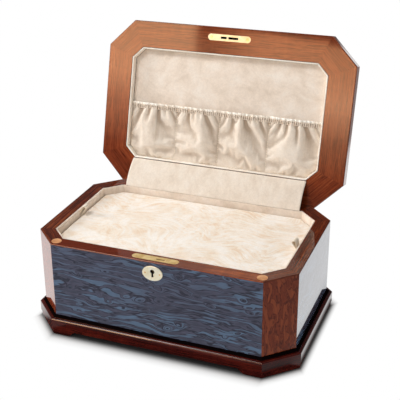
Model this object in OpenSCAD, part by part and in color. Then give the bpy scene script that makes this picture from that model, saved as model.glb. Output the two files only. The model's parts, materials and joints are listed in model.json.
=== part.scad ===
/* [Body] */
// Width of the box over its veneered walls
body_w = 350; // [300:5:420]
// Depth of the box over its veneered walls
body_d = 223; // [200:1:280]
// Leg of the 45 degree chamfer at each corner
corner_leg = 34; // [28:1:44]
// Height of the wall between the plinth and the top of the rim
wall_h = 104; // [90:1:150]
// Thickness of a wall with its veneer
wall_t = 18.5; // [16:0.5:22]
// Thickness of a veneer sheet
veneer_t = 1; // [0.6:0.1:1.4]
// Thickness of the facing that caps the walls
rim_t = 1.5; // [1.2:0.1:3]
// Rounding of the outer edge of the rim
rim_round = 0.8; // [0.4:0.1:1]
// Thickness of the floor board
floor_t = 6; // [4:0.5:10]

/* [Plinth and feet] */
// How far the plinth stands out from the walls
plinth_out = 7.5; // [6.5:0.5:12]
// Height of the plinth moulding from its underside to the foot of the walls
plinth_h = 18.5; // [14:0.5:26]
// Width of the shelf inside the plinth that carries the floor board
plinth_shelf = 10; // [6:1:16]
// Width of the flat fillet next to the wall
fillet_w = 1; // [0.5:0.1:2]
// Drop from the fillet to the top of the cove
fillet_drop = 0.5; // [0.2:0.1:1]
// Radius of the cove
cove_r = 2.4; // [1.6:0.1:3]
// Height of the small step below the cove
step_h = 0.5; // [0.3:0.1:0.8]
// Radius of the rounded nose
nose_r = 2.4; // [1.6:0.1:3]
// Height of the bracket feet
foot_h = 7.5; // [5:0.5:14]
// Thickness of a bracket foot
foot_t = 16; // [12:1:22]
// How far the feet are set back from the face of the plinth
foot_inset = 1.2; // [0.5:0.1:3]
// Length of a foot along a straight side
foot_return = 34; // [26:1:50]
// Length of the ogee at the end of a foot
foot_ogee = 13; // [8:1:18]
// Thickness of the felt under the feet
felt_t = 1; // [0.5:0.5:2]
// Radius of a felt pad
felt_r = 5; // [4:0.5:6]

/* [Lining and cover] */
// Thickness of a suede covered lining board
lining_t = 2.5; // [2:0.5:4]
// How far the lining ends below the top of the rim
lining_drop = 0.5; // [0.3:0.1:1.5]
// Thickness of the pad on the floor
floor_pad_t = 3; // [2:0.5:6]
// Clearance round boards that lie loose in the box
loose_fit = 0.2; // [0.1:0.1:0.4]
// Depth of the edge of the padded cover below the rim
cover_drop = 10; // [7:0.5:16]
// Thickness of the board under the padded cover
cover_board_t = 3; // [2:0.5:5]
// Thickness of the padded cover at its edge
cover_pad_t = 4; // [3:0.5:8]
// Rise of the padded cover from its edge to its middle
cover_crown = 1.5; // [0.5:0.5:3]
// How far the padded cover draws in between its corners
cover_draw = 0.6; // [0.2:0.1:1]
// Clearance between the cover and the lining
cover_fit = 1.2; // [1:0.1:2]
// Width of the strips that carry the cover
ledge_w = 6; // [4:1:10]
// Height of the strips that carry the cover
ledge_h = 10; // [6:1:16]
// Width of a pull loop
loop_w = 12; // [8:1:18]
// Thickness of the band of a pull loop
loop_t = 0.8; // [0.6:0.1:1]
// Length of a pull loop above the cover
loop_len = 15; // [10:1:18]
// Outer radius at the tip of a pull loop
loop_r = 2.6; // [1.8:0.1:3]
// Lean of a pull loop towards the middle of the box
loop_lean = 24; // [0:1:40]

/* [Lid] */
// How far the lid stands out over the walls all round
lid_over = 5; // [3:0.5:5.5]
// Gap between the closed lid and the rim, filled by the bumpers
lid_gap = 0.8; // [0.6:0.1:1.5]
// Height of the lid frame
lid_frame_h = 16; // [14:0.5:24]
// Width of the lid frame from its edge to the recess
lid_frame_w = 36.5; // [32:0.5:42]
// Rounding of the lower edge of the lid frame
lid_round = 1.2; // [0.5:0.1:2]
// Thickness of the top board
lid_top_t = 5; // [4:0.5:10]
// Rounding of the edge of the top board
lid_top_round = 3.5; // [2:0.5:3.5]
// Inset of the veneer field on the top board
field_inset = 30; // [20:1:36]
// Depth of the recess in the lid
recess_h = 10; // [9:0.5:12]
// How far the lining of the recess ends short of the lid face
recess_drop = 0.3; // [0.2:0.1:1]
// Angle at which the lid stands open
open_angle = 105.4; // [95:0.2:106]

/* [Pocket and flap] */
// Place of the pocket mouth behind the middle of the box
pocket_mouth_y = 2; // [-10:1:10]
// Place of the left seam from the middle of the box
seam_left = -70; // [-80:1:-60]
// Place of the middle seam from the middle of the box
seam_mid = -5; // [-10:1:10]
// Place of the right seam from the middle of the box
seam_right = 67; // [60:1:80]
// Thickness of the gathered cloth
cloth_t = 1; // [0.8:0.1:1.4]
// Gap between cloth and panel at the mouth of a pocket
mouth_gap = 6.2; // [5.8:0.1:6.6]
// Gap between cloth and panel where a pocket is fullest
belly_gap = 7.4; // [6.8:0.1:7.6]
// Depth of the folds in the gathered cloth
fold_h = 0.6; // [0.2:0.1:0.8]
// Folds across one pocket
fold_count = 3; // [2:1:4]
// Width of the elastic in the pocket hem
elastic_w = 3.5; // [2.5:0.5:5]
// Width of the cloth flap over the hinges
flap_w = 258; // [250:1:262]
// Thickness of the cloth flap
flap_t = 1.2; // [0.8:0.1:2]
// Bulge of the cloth flap towards the front
flap_bulge = 6; // [3:1:9]

/* [Hinges] */
// Distance from the middle of the box to the middle of a hinge
hinge_x = 84; // [70:1:100]
// Length of a hinge along its pin
hinge_len = 36; // [30:1:44]
// Depth of a hinge leaf
leaf_d = 13; // [12:0.5:15]
// Radius of a hinge knuckle
knuckle_r = 3; // [2.8:0.1:3.2]
// Radius of a hinge pin
pin_r = 1.4; // [1.2:0.1:1.6]
// Distance of the hinge pin behind the back of the box
hinge_back = 1; // [0.9:0.1:1.4]
// Running clearance round the pin and round the knuckles
run_fit = 0.05; // [0.03:0.01:0.08]
// Distance from the middle of a leaf to its outer screws
leaf_screw_x = 12; // [10:0.5:13]

/* [Lock] */
// Length of the lock plate in the rim and of the strike plate
plate_l = 62; // [58:1:70]
// Width of the lock plate
plate_w = 11; // [10:0.5:12]
// Width of the strike plate
strike_w = 9; // [8:0.5:11]
// Thickness of the strike plate
strike_t = 1.5; // [1:0.1:2]
// Distance from the middle to the screws of both plates
plate_screw_x = 26; // [25:0.5:27]
// Distance of the bolt behind the front of the box
bolt_back = 9.5; // [9:0.5:10]
// Width of the lock case
case_w = 42; // [38:1:46]
// Thickness of the lock case
case_t = 9; // [9:0.2:10]
// Height of the lock case
case_h = 26; // [25:1:32]
// Thickness of the walls of the lock case
case_wall = 1.2; // [1:0.1:1.4]
// Thickness of the bolt
bolt_t = 2; // [1.6:0.1:2.2]
// Left end of the hook of the bolt
hook_x = 1.2; // [0:0.1:2]
// Width of the hook of the bolt
hook_w = 10.8; // [9:0.1:11]
// Travel of the bolt in a quarter turn of the key
bolt_travel = 6; // [4:0.5:6.5]
// Clearance round the bolt in the slots
slot_fit = 0.5; // [0.3:0.1:1]
// Depth of the keyhole below the rim
key_drop = 13; // [12:0.5:14]
// Radius of the round part of the keyhole
key_r = 3; // [3:0.1:3.2]
// Width of the slot below the keyhole
key_slot_w = 3; // [2:0.2:3.4]
// Length of the keyhole from its centre downwards
key_slot_h = 8; // [6:0.5:9]
// Radius of the key drum
drum_r = 6; // [5.8:0.1:6.4]
// Radius of the pin on the drum that drives the bolt
crank_r = 1; // [0.8:0.1:1.1]
// Width of the escutcheon
escutcheon_w = 27; // [24:1:32]
// Height of the escutcheon
escutcheon_h = 20; // [18:1:24]
// Thickness of the escutcheon
escutcheon_t = 1.2; // [0.8:0.1:2]
// Radius of the bumper discs
bumper_r = 6.5; // [5:0.5:7]
// Height of the bumper discs
bumper_h = 0.5; // [0.3:0.1:0.5]

/* [Hidden] */
$fn = 48;

// Numbers of the eight sides, counted from the front anticlockwise as seen from above
FRONT = 0;
RIGHT = 2;
BACK = 4;
LEFT = 6;
CORNERS = [1, 3, 5, 7];
// A cutter runs past the face that it cuts by this much
over = 1;
// Thickness of the slices that shape the edge of the top board
slice = 0.01;

// Heights of the levels of the box
z_plinth = felt_t + foot_h;
z_wall = z_plinth + plinth_h;
z_rim = z_wall + wall_h;
z_cap = z_rim - rim_t;
z_floor = z_wall + floor_t;
z_ledge = z_rim - cover_drop - cover_pad_t - cover_board_t;
z_pad = z_ledge + cover_board_t;
z_lid = z_rim + lid_gap;
z_recess = z_lid + recess_h;
z_top = z_lid + lid_frame_h;

// Offsets of the faces of the box from the veneered walls
in_wall = -wall_t;
in_lining = in_wall - lining_t;
in_cover = in_lining - cover_fit;
foot_face = plinth_out - foot_inset;
lid_inner = lid_over - lid_frame_w;
recess_in = lid_inner - lining_t;

// Hinge pin
hinge_y = body_d / 2 + hinge_back;
hinge_z = z_rim + lid_gap / 2;
leaf_t = rim_t;
knuckle_gap = 0.3;
knuckle_room = knuckle_r + knuckle_gap;
knuckle_len = (hinge_len - 2 * knuckle_gap) / 3;
leaf_y = body_d / 2 - leaf_d - 0.5;
leaf_screw_y = leaf_y + leaf_d * 0.45;

// Sizes of the screws
screw_head_r = 2.4;
screw_r = 1.2;
screw_len = 9;
pilot_fit = 0.05;
small_head_r = 1.3;
small_screw_r = 0.7;
small_screw_len = 5;

// Lock
bolt_y = -body_d / 2 + bolt_back;
case_y = bolt_y - 1.2;
key_z = z_rim - key_drop;
case_z = z_cap - case_h;
case_front = case_y - case_t / 2;
case_back = case_y + case_t / 2;
drum_front = case_front + case_wall + loose_fit;
drum_back = bolt_y - bolt_t / 2 - 0.4;
crank_orbit = bolt_travel / sqrt(2);
journal_r = 2;
hook_grip = 2;
hook_bite = 2;
hook_gap = 1.6;
bolt_web = 2.8;
slot_w = hook_w + 2 * slot_fit;
bolt_top = key_z + journal_r + bolt_web;
bolt_half_w = case_w / 2 - case_wall - 0.3;
bolt_low = case_z + case_wall + 0.3;
hook_top = z_rim - 0.4;
strike_slot_x = hook_x - slot_fit - 2.2;
strike_slot_w = slot_w + 2.4;
spare_slot_x = -12.5;
spare_slot_w = 8.4;
strike_slot_h = 3;
mortise_h = bolt_travel + 2;

// Pocket cloth and its mesh
cloth_cols = 16;
cloth_rows = 7;
cloth_foot_y = body_d / 2 + recess_in - loose_fit;
cloth_leg = leg(corner_leg, recess_in);

// Middle of the whole object from front to back, with the lid open
y_front = -body_d / 2 - plinth_out;
y_rear = max([for (p = top_edge()) open_y(-body_d / 2 - lid_over + p[0], p[1])]);
y_mid = (y_front + y_rear) / 2;

// Leg of the chamfer on an outline that is moved out by off
function leg(l, off) = l + off * (2 - sqrt(2));

// Outline of the box in plan, moved out by off
function outline(off) =
    let (a = body_w / 2 + off, b = body_d / 2 + off, l = leg(corner_leg, off))
    [[-a + l, -b], [a - l, -b], [a, -b + l], [a, b - l], [a - l, b], [-a + l, b], [-a, b - l], [-a, -b + l]];

// Plan of one mitred piece on side k between two offsets
function side_plan(k, outer, inner) =
    let (p = outline(outer), q = outline(inner), n = (k + 1) % 8)
    [p[k], p[n], q[n], q[k]];

// Middle of side k on an outline
function side_middle(k, off) =
    let (p = outline(off))
    (p[k] + p[(k + 1) % 8]) / 2;

// Direction in which side k faces, and its distance from the middle
function side_angle(k) = -90 + 45 * k;
function side_dist(k) =
    k % 4 == 0 ? body_d / 2 : k % 4 == 2 ? body_w / 2 : (body_w / 2 + body_d / 2 - corner_leg) / sqrt(2);

// Points of an arc from angle a to angle b
function arc(x, y, r, a, b, n = 6) =
    [for (i = [0:n]) let (t = a + (b - a) * i / n) [x + r * cos(t), y + r * sin(t)]];

// Outline of the rounded edge of the top board as inset and height
function top_edge() =
    concat([[0, z_top]], arc(lid_top_round, z_top + lid_top_t - lid_top_round, lid_top_round, 180, 90, 5));

// Where a point of the closed lid goes when the lid stands open
function open_y(y, z) = hinge_y + (y - hinge_y) * cos(open_angle) + (z - hinge_z) * sin(open_angle);
function open_z(y, z) = hinge_z - (y - hinge_y) * sin(open_angle) + (z - hinge_z) * cos(open_angle);

// Moves a piece from the middle of the box to the middle of the whole object
module in_row() {
    translate([0, -y_mid, 0]) children();
}

// Swings a piece of the closed lid open
module in_lid() {
    in_row()
    translate([0, hinge_y, hinge_z])
    rotate([-open_angle, 0, 0])
    translate([0, -hinge_y, -hinge_z])
    children();
}

// Straight board on side k, mitred at both ends
module side_board(k, outer, inner, z0, z1) {
    translate([0, 0, z0])
    linear_extrude(z1 - z0)
    polygon(side_plan(k, outer, inner));
}

// Moulded length on side k: profile points give distance from the wall face and height
module side_moulding(k, outer, inner, z0, z1, profile) {
    intersection() {
        side_board(k, outer, inner, z0, z1);
        rotate([0, 0, side_angle(k)])
        translate([side_dist(k), 0, 0])
        rotate([90, 0, 0])
        linear_extrude(height = body_w + body_d, center = true)
        polygon(profile);
    }
}

// Flat board with the outline of the box
module octagon_board(off, z0, z1) {
    translate([0, 0, z0])
    linear_extrude(z1 - z0)
    polygon(outline(off));
}

// Countersunk screw with its head at the origin and its shank downwards
module screw(head_r = screw_head_r, r = screw_r, len = screw_len) {
    cone_h = head_r - r;
    difference() {
        union() {
            translate([0, 0, -cone_h]) cylinder(r1 = r, r2 = head_r, h = cone_h);
            translate([0, 0, -len]) cylinder(r = r, h = len - cone_h);
        }
        for (a = [0, 90])
            rotate([0, 0, a])
            translate([-head_r * 0.6, -head_r * 0.13, -cone_h * 0.6])
            cube([head_r * 1.2, head_r * 0.26, cone_h]);
    }
}

// Hole that a countersunk screw leaves in what it passes through
module screw_hole(head_r = screw_head_r, r = screw_r, len = screw_len) {
    cone_h = head_r - r;
    translate([0, 0, -cone_h]) cylinder(r1 = r + pilot_fit, r2 = head_r + pilot_fit, h = cone_h);
    translate([0, 0, -0.01]) cylinder(r = head_r + pilot_fit, h = over);
    translate([0, 0, -len - over]) cylinder(r = r + pilot_fit, h = len + over);
}

// Plate with round ends
module slot_plate(l, w, t) {
    linear_extrude(t)
    polygon(concat(
        arc(l / 2 - w / 2, 0, w / 2, -90, 90, 16),
        arc(-l / 2 + w / 2, 0, w / 2, 90, 270, 16)
    ));
}

// Places of the screws in the two plates and in the hinge leaves
module at_plate_screws() {
    for (x = [-plate_screw_x, plate_screw_x]) translate([x, bolt_y, 0]) children();
}

module at_hinges() {
    for (x = [-hinge_x, hinge_x]) translate([x, 0, 0]) children();
}

module at_leaf_screws() {
    at_hinges()
    for (x = [-leaf_screw_x, 0, leaf_screw_x])
        translate([x, leaf_screw_y + (x == 0 ? -2.5 : 0), 0])
        children();
}

// Cylinder along the hinge pin, centred on a hinge
module pin_cylinder(r, len) {
    translate([0, hinge_y, hinge_z])
    rotate([0, 90, 0])
    cylinder(r = r, h = len, center = true);
}

// Room for the knuckles in the wood of body and lid
module knuckle_notch() {
    at_hinges() pin_cylinder(knuckle_room, hinge_len + 2 * knuckle_gap);
}

// Keyhole seen from the front: a round hole with a flared slot below
module keyhole(depth, grow = 0) {
    translate([0, 0, key_z])
    rotate([90, 0, 0])
    linear_extrude(depth)
    union() {
        circle(r = key_r + grow);
        polygon([
            [-key_slot_w * 0.35 - grow, 0], [key_slot_w * 0.35 + grow, 0],
            [key_slot_w / 2 + grow, -key_slot_h - grow], [-key_slot_w / 2 - grow, -key_slot_h - grow]
        ]);
    }
}

// Plinth

function plinth_profile() =
    let (
        cove_x = fillet_w + cove_r,
        cove_z = z_wall - fillet_drop,
        nose_x = plinth_out - nose_r,
        nose_z = cove_z - cove_r - step_h - nose_r
    )
    concat(
        [[in_wall - plinth_shelf, z_plinth], [plinth_out, z_plinth]],
        arc(nose_x, nose_z, nose_r, 0, 90, 8),
        [[cove_x, nose_z + nose_r]],
        arc(cove_x, cove_z, cove_r, 270, 180, 8),
        [[fillet_w, z_wall], [in_wall - plinth_shelf, z_wall]]
    );

module plinth_length(k) {
    side_moulding(k, plinth_out + over, in_wall - plinth_shelf, z_plinth, z_wall, plinth_profile());
}

module plinth_front() {
    color("#4a1410") in_row() plinth_length(FRONT);
}

module plinth_back() {
    color("#4a1410") in_row() plinth_length(BACK);
}

module plinth_sides() {
    color("#4a1410") in_row() for (k = [RIGHT, LEFT]) plinth_length(k);
}

module plinth_corners() {
    color("#551a14") in_row() for (k = CORNERS) plinth_length(k);
}

// Feet

// Elevation of a foot along side k, from the corner to the end of its ogee
function foot_elevation(half) =
    concat(
        [[half + over, felt_t], [half + over, z_plinth]],
        [for (i = [0:10])
            let (t = i / 10)
            [half - foot_return + foot_ogee * t, z_plinth - foot_h * (1 - cos(180 * t)) / 2]]
    );

// Half the length of side k on the face of the feet
function half_side(k) =
    let (p = side_plan(k, foot_face, foot_face))
    norm(p[1] - p[0]) / 2;

// Stretch of a foot along side k, towards the end given by dir
module foot_stretch(k, dir) {
    intersection() {
        side_board(k, foot_face, foot_face - foot_t, felt_t, z_plinth);
        rotate([0, 0, side_angle(k)])
        mirror([0, dir < 0 ? 1 : 0, 0])
        rotate([90, 0, 90])
        linear_extrude(body_w)
        polygon(foot_elevation(half_side(k)));
    }
}

module foot(k) {
    color("#3c0f0c")
    in_row() {
        side_board(k, foot_face, foot_face - foot_t, felt_t, z_plinth);
        foot_stretch((k + 7) % 8, 1);
        foot_stretch((k + 1) % 8, -1);
    }
}

module foot_front_right() {
    foot(1);
}

module foot_back_right() {
    foot(3);
}

module foot_back_left() {
    foot(5);
}

module foot_front_left() {
    foot(7);
}

module foot_pads() {
    color("#2a2420")
    in_row()
    for (k = CORNERS)
        translate(concat(side_middle(k, foot_face - foot_t / 2), 0))
        cylinder(r = felt_r, h = felt_t);
}

// Walls

module floor_board() {
    color("#b99a6b") in_row() octagon_board(in_wall - loose_fit, z_wall, z_floor);
}

module wall_board(k) {
    side_board(k, -veneer_t, in_wall, z_wall, z_cap);
}

module front_panel() {
    room = loose_fit;
    color("#c2a473")
    in_row()
    difference() {
        wall_board(FRONT);
        translate([-case_w / 2 - room, case_front - room, case_z - room])
        cube([case_w + 2 * room, case_t + 2 * room, case_h + room + over]);
        translate([0, case_y, 0]) keyhole(body_d / 2 + case_y + over);
        translate([0, 0, z_rim]) at_plate_screws() screw_hole();
        at_escutcheon_screws() screw_hole(small_head_r, small_screw_r, small_screw_len);
    }
}

module back_panel() {
    color("#c2a473")
    in_row()
    difference() {
        wall_board(BACK);
        knuckle_notch();
        translate([0, 0, z_rim]) at_leaf_screws() screw_hole();
    }
}

module left_panel() {
    color("#c2a473") in_row() wall_board(LEFT);
}

module right_panel() {
    color("#c2a473") in_row() wall_board(RIGHT);
}

module corner_posts() {
    color("#b08d5c") in_row() for (k = CORNERS) wall_board(k);
}

// Veneers

module veneer(k) {
    side_board(k, 0, -veneer_t, z_wall, z_cap);
}

module front_veneer() {
    color("#2f4257")
    in_row()
    difference() {
        veneer(FRONT);
        translate([0, case_y, 0]) keyhole(body_d / 2 + case_y + over);
        at_escutcheon_screws() screw_hole(small_head_r, small_screw_r, small_screw_len);
    }
}

module back_veneer() {
    color("#2f4257")
    in_row()
    difference() {
        veneer(BACK);
        knuckle_notch();
    }
}

module side_veneers() {
    color("#2f4257") in_row() for (k = [RIGHT, LEFT]) veneer(k);
}

module corner_veneers() {
    color("#6b2a1b") in_row() for (k = CORNERS) veneer(k);
}

// Rim

function rim_profile() =
    concat(
        [[in_wall, z_cap], [0, z_cap]],
        arc(-rim_round, z_rim - rim_round, rim_round, 0, 90, 4),
        [[in_wall, z_rim]]
    );

module rim_length(k) {
    side_moulding(k, over, in_wall, z_cap, z_rim, rim_profile());
}

module rim_front() {
    color("#8a4a22")
    in_row()
    difference() {
        rim_length(FRONT);
        translate([0, bolt_y, z_cap - over])
        slot_plate(plate_l + 2 * pilot_fit, plate_w + 2 * pilot_fit, rim_t + 2 * over);
    }
}

module rim_back() {
    color("#5a1c14")
    in_row()
    difference() {
        rim_length(BACK);
        at_hinges()
        translate([-hinge_len / 2 - pilot_fit, leaf_y - pilot_fit, z_cap - over])
        cube([hinge_len + 2 * pilot_fit, leaf_d + wall_t, rim_t + 2 * over]);
        knuckle_notch();
    }
}

module rim_sides() {
    color("#5a1c14") in_row() for (k = [RIGHT, LEFT]) rim_length(k);
}

module rim_corners() {
    color("#6b2416") in_row() for (k = CORNERS) rim_length(k);
}

module bumpers() {
    p = outline(0);
    q = outline(in_wall);
    color("#d9995c")
    in_row()
    for (i = [0, 1])
        translate([(p[i][0] + q[i][0]) / 2, (p[i][1] + q[i][1]) / 2, z_rim])
        cylinder(r = bumper_r, h = bumper_h);
}

// Lining

module lining_board(k) {
    side_board(k, in_wall, in_lining, z_floor, z_rim - lining_drop);
}

module lining_front() {
    color("#e2cfb4") in_row() lining_board(FRONT);
}

module lining_back() {
    color("#e2cfb4") in_row() lining_board(BACK);
}

module lining_sides() {
    color("#e2cfb4") in_row() for (k = [RIGHT, LEFT]) lining_board(k);
}

module lining_corners() {
    color("#dcc8ab") in_row() for (k = CORNERS) lining_board(k);
}

module lining_floor() {
    color("#e8d8c0") in_row() octagon_board(in_lining - loose_fit, z_floor, z_floor + floor_pad_t);
}

module cover_ledges() {
    color("#d8c4a6")
    in_row()
    for (k = [FRONT, RIGHT, BACK, LEFT])
        side_board(k, in_lining, in_lining - ledge_w, z_ledge - ledge_h, z_ledge);
}

// Cover

module cover_board() {
    color("#cdb893") in_row() octagon_board(in_cover, z_ledge, z_pad);
}

// Points round the cover: each side has pad_steps of them and draws in between its corners
pad_steps = 8;

function pad_ring(inset, scale, draw, z) =
    let (p = outline(in_cover - inset))
    [for (k = [0:7], i = [0:pad_steps - 1])
        let (
            t = i / pad_steps,
            a = side_angle(k),
            d = draw * sin(180 * t),
            x = p[k][0] + (p[(k + 1) % 8][0] - p[k][0]) * t - d * cos(a),
            y = p[k][1] + (p[(k + 1) % 8][1] - p[k][1]) * t - d * sin(a)
        )
        [x * scale, y * scale, z]];

module cover_pad() {
    round_h = cover_pad_t * 0.35;
    top = z_pad + cover_pad_t;
    rings = [
        pad_ring(0, 1, 0, z_pad),
        pad_ring(0, 1, cover_draw * 0.5, top - round_h),
        pad_ring(round_h * 0.4, 1, cover_draw, top - round_h * 0.3),
        pad_ring(round_h * 1.2, 1, cover_draw, top),
        pad_ring(round_h * 1.2, 0.95, cover_draw, top + cover_crown * 0.35),
        pad_ring(round_h * 1.2, 0.82, 0, top + cover_crown * 0.7),
        pad_ring(round_h * 1.2, 0.5, 0, top + cover_crown * 0.95)
    ];
    n = 8 * pad_steps;
    last = len(rings) - 1;
    points = concat([for (r = rings, p = r) p], [[0, 0, z_pad], [0, 0, top + cover_crown]]);
    faces = concat(
        [for (i = [0:n - 1]) [n * len(rings), i, (i + 1) % n]],
        [for (r = [0:last - 1], i = [0:n - 1]) [r * n + i, (r + 1) * n + i, (r + 1) * n + (i + 1) % n]],
        [for (r = [0:last - 1], i = [0:n - 1]) [r * n + i, (r + 1) * n + (i + 1) % n, r * n + (i + 1) % n]],
        [for (i = [0:n - 1]) [n * len(rings) + 1, last * n + (i + 1) % n, last * n + i]]
    );
    color("#efe4cf") in_row() polyhedron(points, faces);
}

// Outline of a drop with its point at the origin and its round end along +X
function drop(r, l, from) =
    let (a = 180 - acos(r / l))
    concat([[from, 0]], arc(l, 0, r, -a, a, 16));

// Loop of band on the edge of the cover, at the end given by dir
module pull_loop(dir) {
    edge = body_w / 2 + in_cover;
    top = z_pad + cover_pad_t;
    reach = loop_len - loop_r;
    color("#dfcbab")
    in_row()
    mirror([dir < 0 ? 1 : 0, 0, 0])
    translate([edge, 0, 0])
    rotate([90, 0, 0])
    linear_extrude(height = loop_w, center = true)
    union() {
        translate([0, z_ledge]) square([loop_t, top - z_ledge + 0.4]);
        translate([loop_t / 2, top])
        rotate([0, 0, 90 + loop_lean])
        difference() {
            polygon(drop(loop_r, reach, 0));
            polygon(drop(loop_r - loop_t, reach, loop_t * reach / loop_r));
        }
    }
}

module pull_loop_left() {
    pull_loop(-1);
}

module pull_loop_right() {
    pull_loop(1);
}

// Lock

module lock_case() {
    color("#b8a468")
    in_row()
    difference() {
        translate([-case_w / 2, case_front, case_z]) cube([case_w, case_t, case_h]);
        translate([-case_w / 2 + case_wall, case_front + case_wall, case_z + case_wall])
        cube([case_w - 2 * case_wall, case_t - 2 * case_wall, case_h]);
        translate([0, case_y, 0]) keyhole(body_d / 2 + case_y + over);
        translate([0, case_back + over, key_z])
        rotate([90, 0, 0])
        cylinder(r = journal_r + run_fit, h = case_wall + 2 * over);
    }
}

module lock_plate() {
    color("#d9b45a")
    in_row()
    difference() {
        translate([0, bolt_y, z_cap]) slot_plate(plate_l, plate_w, rim_t);
        translate([hook_x - slot_fit, bolt_y - bolt_t / 2 - slot_fit, z_cap - over])
        cube([slot_w, bolt_t + 2 * slot_fit, rim_t + 2 * over]);
        translate([0, 0, z_rim]) at_plate_screws() screw_hole();
    }
}

module lock_screws() {
    color("#c9a24c") in_row() translate([0, 0, z_rim]) at_plate_screws() screw();
}

// The drum carries the driving pin a quarter turn, from below to above its axis
module lock_drum() {
    color("#a8924f")
    in_row()
    translate([0, 0, key_z]) {
        difference() {
            translate([0, drum_back, 0]) rotate([90, 0, 0]) cylinder(r = drum_r, h = drum_back - drum_front);
            translate([0, drum_front + 1.2, 0]) rotate([90, 0, 0]) cylinder(r = 1.6, h = 1.2 + over);
            translate([-0.7, drum_front - over, -drum_r + 1.2]) cube([1.4, 1.2 + over, drum_r]);
        }
        translate([0, case_back - 0.1, 0])
        rotate([90, 0, 0])
        cylinder(r = journal_r, h = case_back - 0.1 - drum_back + 0.2);
        rotate([0, 45, 0])
        translate([crank_orbit, bolt_y + bolt_t / 2 + 0.2, 0])
        rotate([90, 0, 0])
        cylinder(r = crank_r, h = bolt_t + 0.8);
    }
}

module lock_bolt() {
    clear = 0.35;
    front = bolt_y - bolt_t / 2;
    pin_x = crank_orbit / sqrt(2);
    pin_z = key_z - crank_orbit / sqrt(2);
    color("#c2ab66")
    in_row()
    difference() {
        union() {
            translate([-bolt_half_w, front, bolt_low]) cube([2 * bolt_half_w, bolt_t, bolt_top - bolt_low]);
            translate([hook_x, front, bolt_top - 0.1]) cube([hook_w, bolt_t, hook_top - bolt_top + 0.1]);
        }
        // Room for the journal of the drum, over the whole travel
        translate([-journal_r - clear, front - over, key_z - journal_r - clear - bolt_travel])
        cube([2 * (journal_r + clear), bolt_t + 2 * over, 2 * (journal_r + clear) + bolt_travel]);
        // Slot in which the driving pin runs sideways
        translate([pin_x - crank_r - clear, front - over, pin_z - crank_r - clear])
        cube([
            crank_orbit - pin_x + 2 * (crank_r + clear), bolt_t + 2 * over, 2 * (crank_r + clear)
        ]);
        // Notch that makes the top of the bolt a hook
        translate([hook_x - over, front - over, hook_top - hook_grip - hook_gap])
        cube([hook_bite + over, bolt_t + 2 * over, hook_gap]);
    }
}

// Places of the two small screws of the escutcheon, facing forwards
module at_escutcheon_screws() {
    for (x = [-1, 1])
        translate([x * escutcheon_w * 0.36, -body_d / 2 - escutcheon_t, key_z - key_slot_h / 2 + key_r / 2])
        rotate([90, 0, 0])
        children();
}

module escutcheon() {
    color("#e3c877")
    in_row()
    difference() {
        translate([0, -body_d / 2, key_z - key_slot_h / 2 + key_r / 2])
        rotate([90, 0, 0])
        linear_extrude(escutcheon_t)
        polygon([for (i = [0:47]) [escutcheon_w / 2 * cos(7.5 * i), escutcheon_h / 2 * sin(7.5 * i)]]);
        translate([0, case_y, 0]) keyhole(body_d / 2 + case_y + escutcheon_t + over);
        at_escutcheon_screws() screw_hole(small_head_r, small_screw_r, small_screw_len);
    }
}

module escutcheon_screws() {
    color("#a8873c") in_row() at_escutcheon_screws() screw(small_head_r, small_screw_r, small_screw_len);
}

// Hinges

// Knuckles of a leaf as places along the pin
module body_knuckles(r, grow = 0) {
    for (s = [-1, 1])
        translate([s * (knuckle_len + knuckle_gap), 0, 0])
        pin_cylinder(r, knuckle_len + 2 * grow);
}

module lid_knuckle(r, grow = 0) {
    pin_cylinder(r, knuckle_len + 2 * grow);
}

module leaf_plate(z) {
    translate([-hinge_len / 2, leaf_y, z]) cube([hinge_len, hinge_y - leaf_y - 1, leaf_t]);
}

module hinge_body_leaves() {
    color("#cfa954")
    in_row()
    difference() {
        at_hinges()
        difference() {
            union() {
                leaf_plate(z_cap);
                body_knuckles(knuckle_r);
            }
            lid_knuckle(knuckle_room, knuckle_gap);
            pin_cylinder(pin_r, hinge_len + over);
        }
        translate([0, 0, z_rim]) at_leaf_screws() screw_hole();
    }
}

module hinge_lid_leaves() {
    color("#cfa954")
    in_lid()
    difference() {
        at_hinges()
        difference() {
            union() {
                leaf_plate(z_lid);
                lid_knuckle(knuckle_r);
            }
            body_knuckles(knuckle_room, knuckle_gap);
            pin_cylinder(pin_r + run_fit, hinge_len + over);
        }
        translate([0, 0, z_lid]) at_leaf_screws() mirror([0, 0, 1]) screw_hole();
    }
}

module hinge_pins() {
    color("#b8934a") in_row() at_hinges() pin_cylinder(pin_r, hinge_len);
}

module hinge_body_screws() {
    color("#c9a24c") in_row() translate([0, 0, z_rim]) at_leaf_screws() screw();
}

module hinge_lid_screws() {
    color("#c9a24c") in_lid() translate([0, 0, z_lid]) at_leaf_screws() mirror([0, 0, 1]) screw();
}

// Lid

function lid_profile() =
    concat(
        [[lid_inner, z_lid]],
        arc(lid_over - lid_round, z_lid + lid_round, lid_round, -90, 0, 5),
        [[lid_over, z_top], [lid_inner, z_top]]
    );

module lid_length(k) {
    side_moulding(k, lid_over + over, lid_inner, z_lid, z_top, lid_profile());
}

module lid_front_rail() {
    color("#a5633c")
    in_lid()
    difference() {
        lid_length(FRONT);
        translate([0, bolt_y, z_lid - over])
        slot_plate(plate_l + 2 * pilot_fit, strike_w + 2 * pilot_fit, strike_t + over);
        translate([spare_slot_x, bolt_y - strike_slot_h / 2, z_lid])
        cube([strike_slot_x + strike_slot_w - spare_slot_x, strike_slot_h, mortise_h]);
        translate([0, 0, z_lid]) at_plate_screws() mirror([0, 0, 1]) screw_hole();
    }
}

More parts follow.
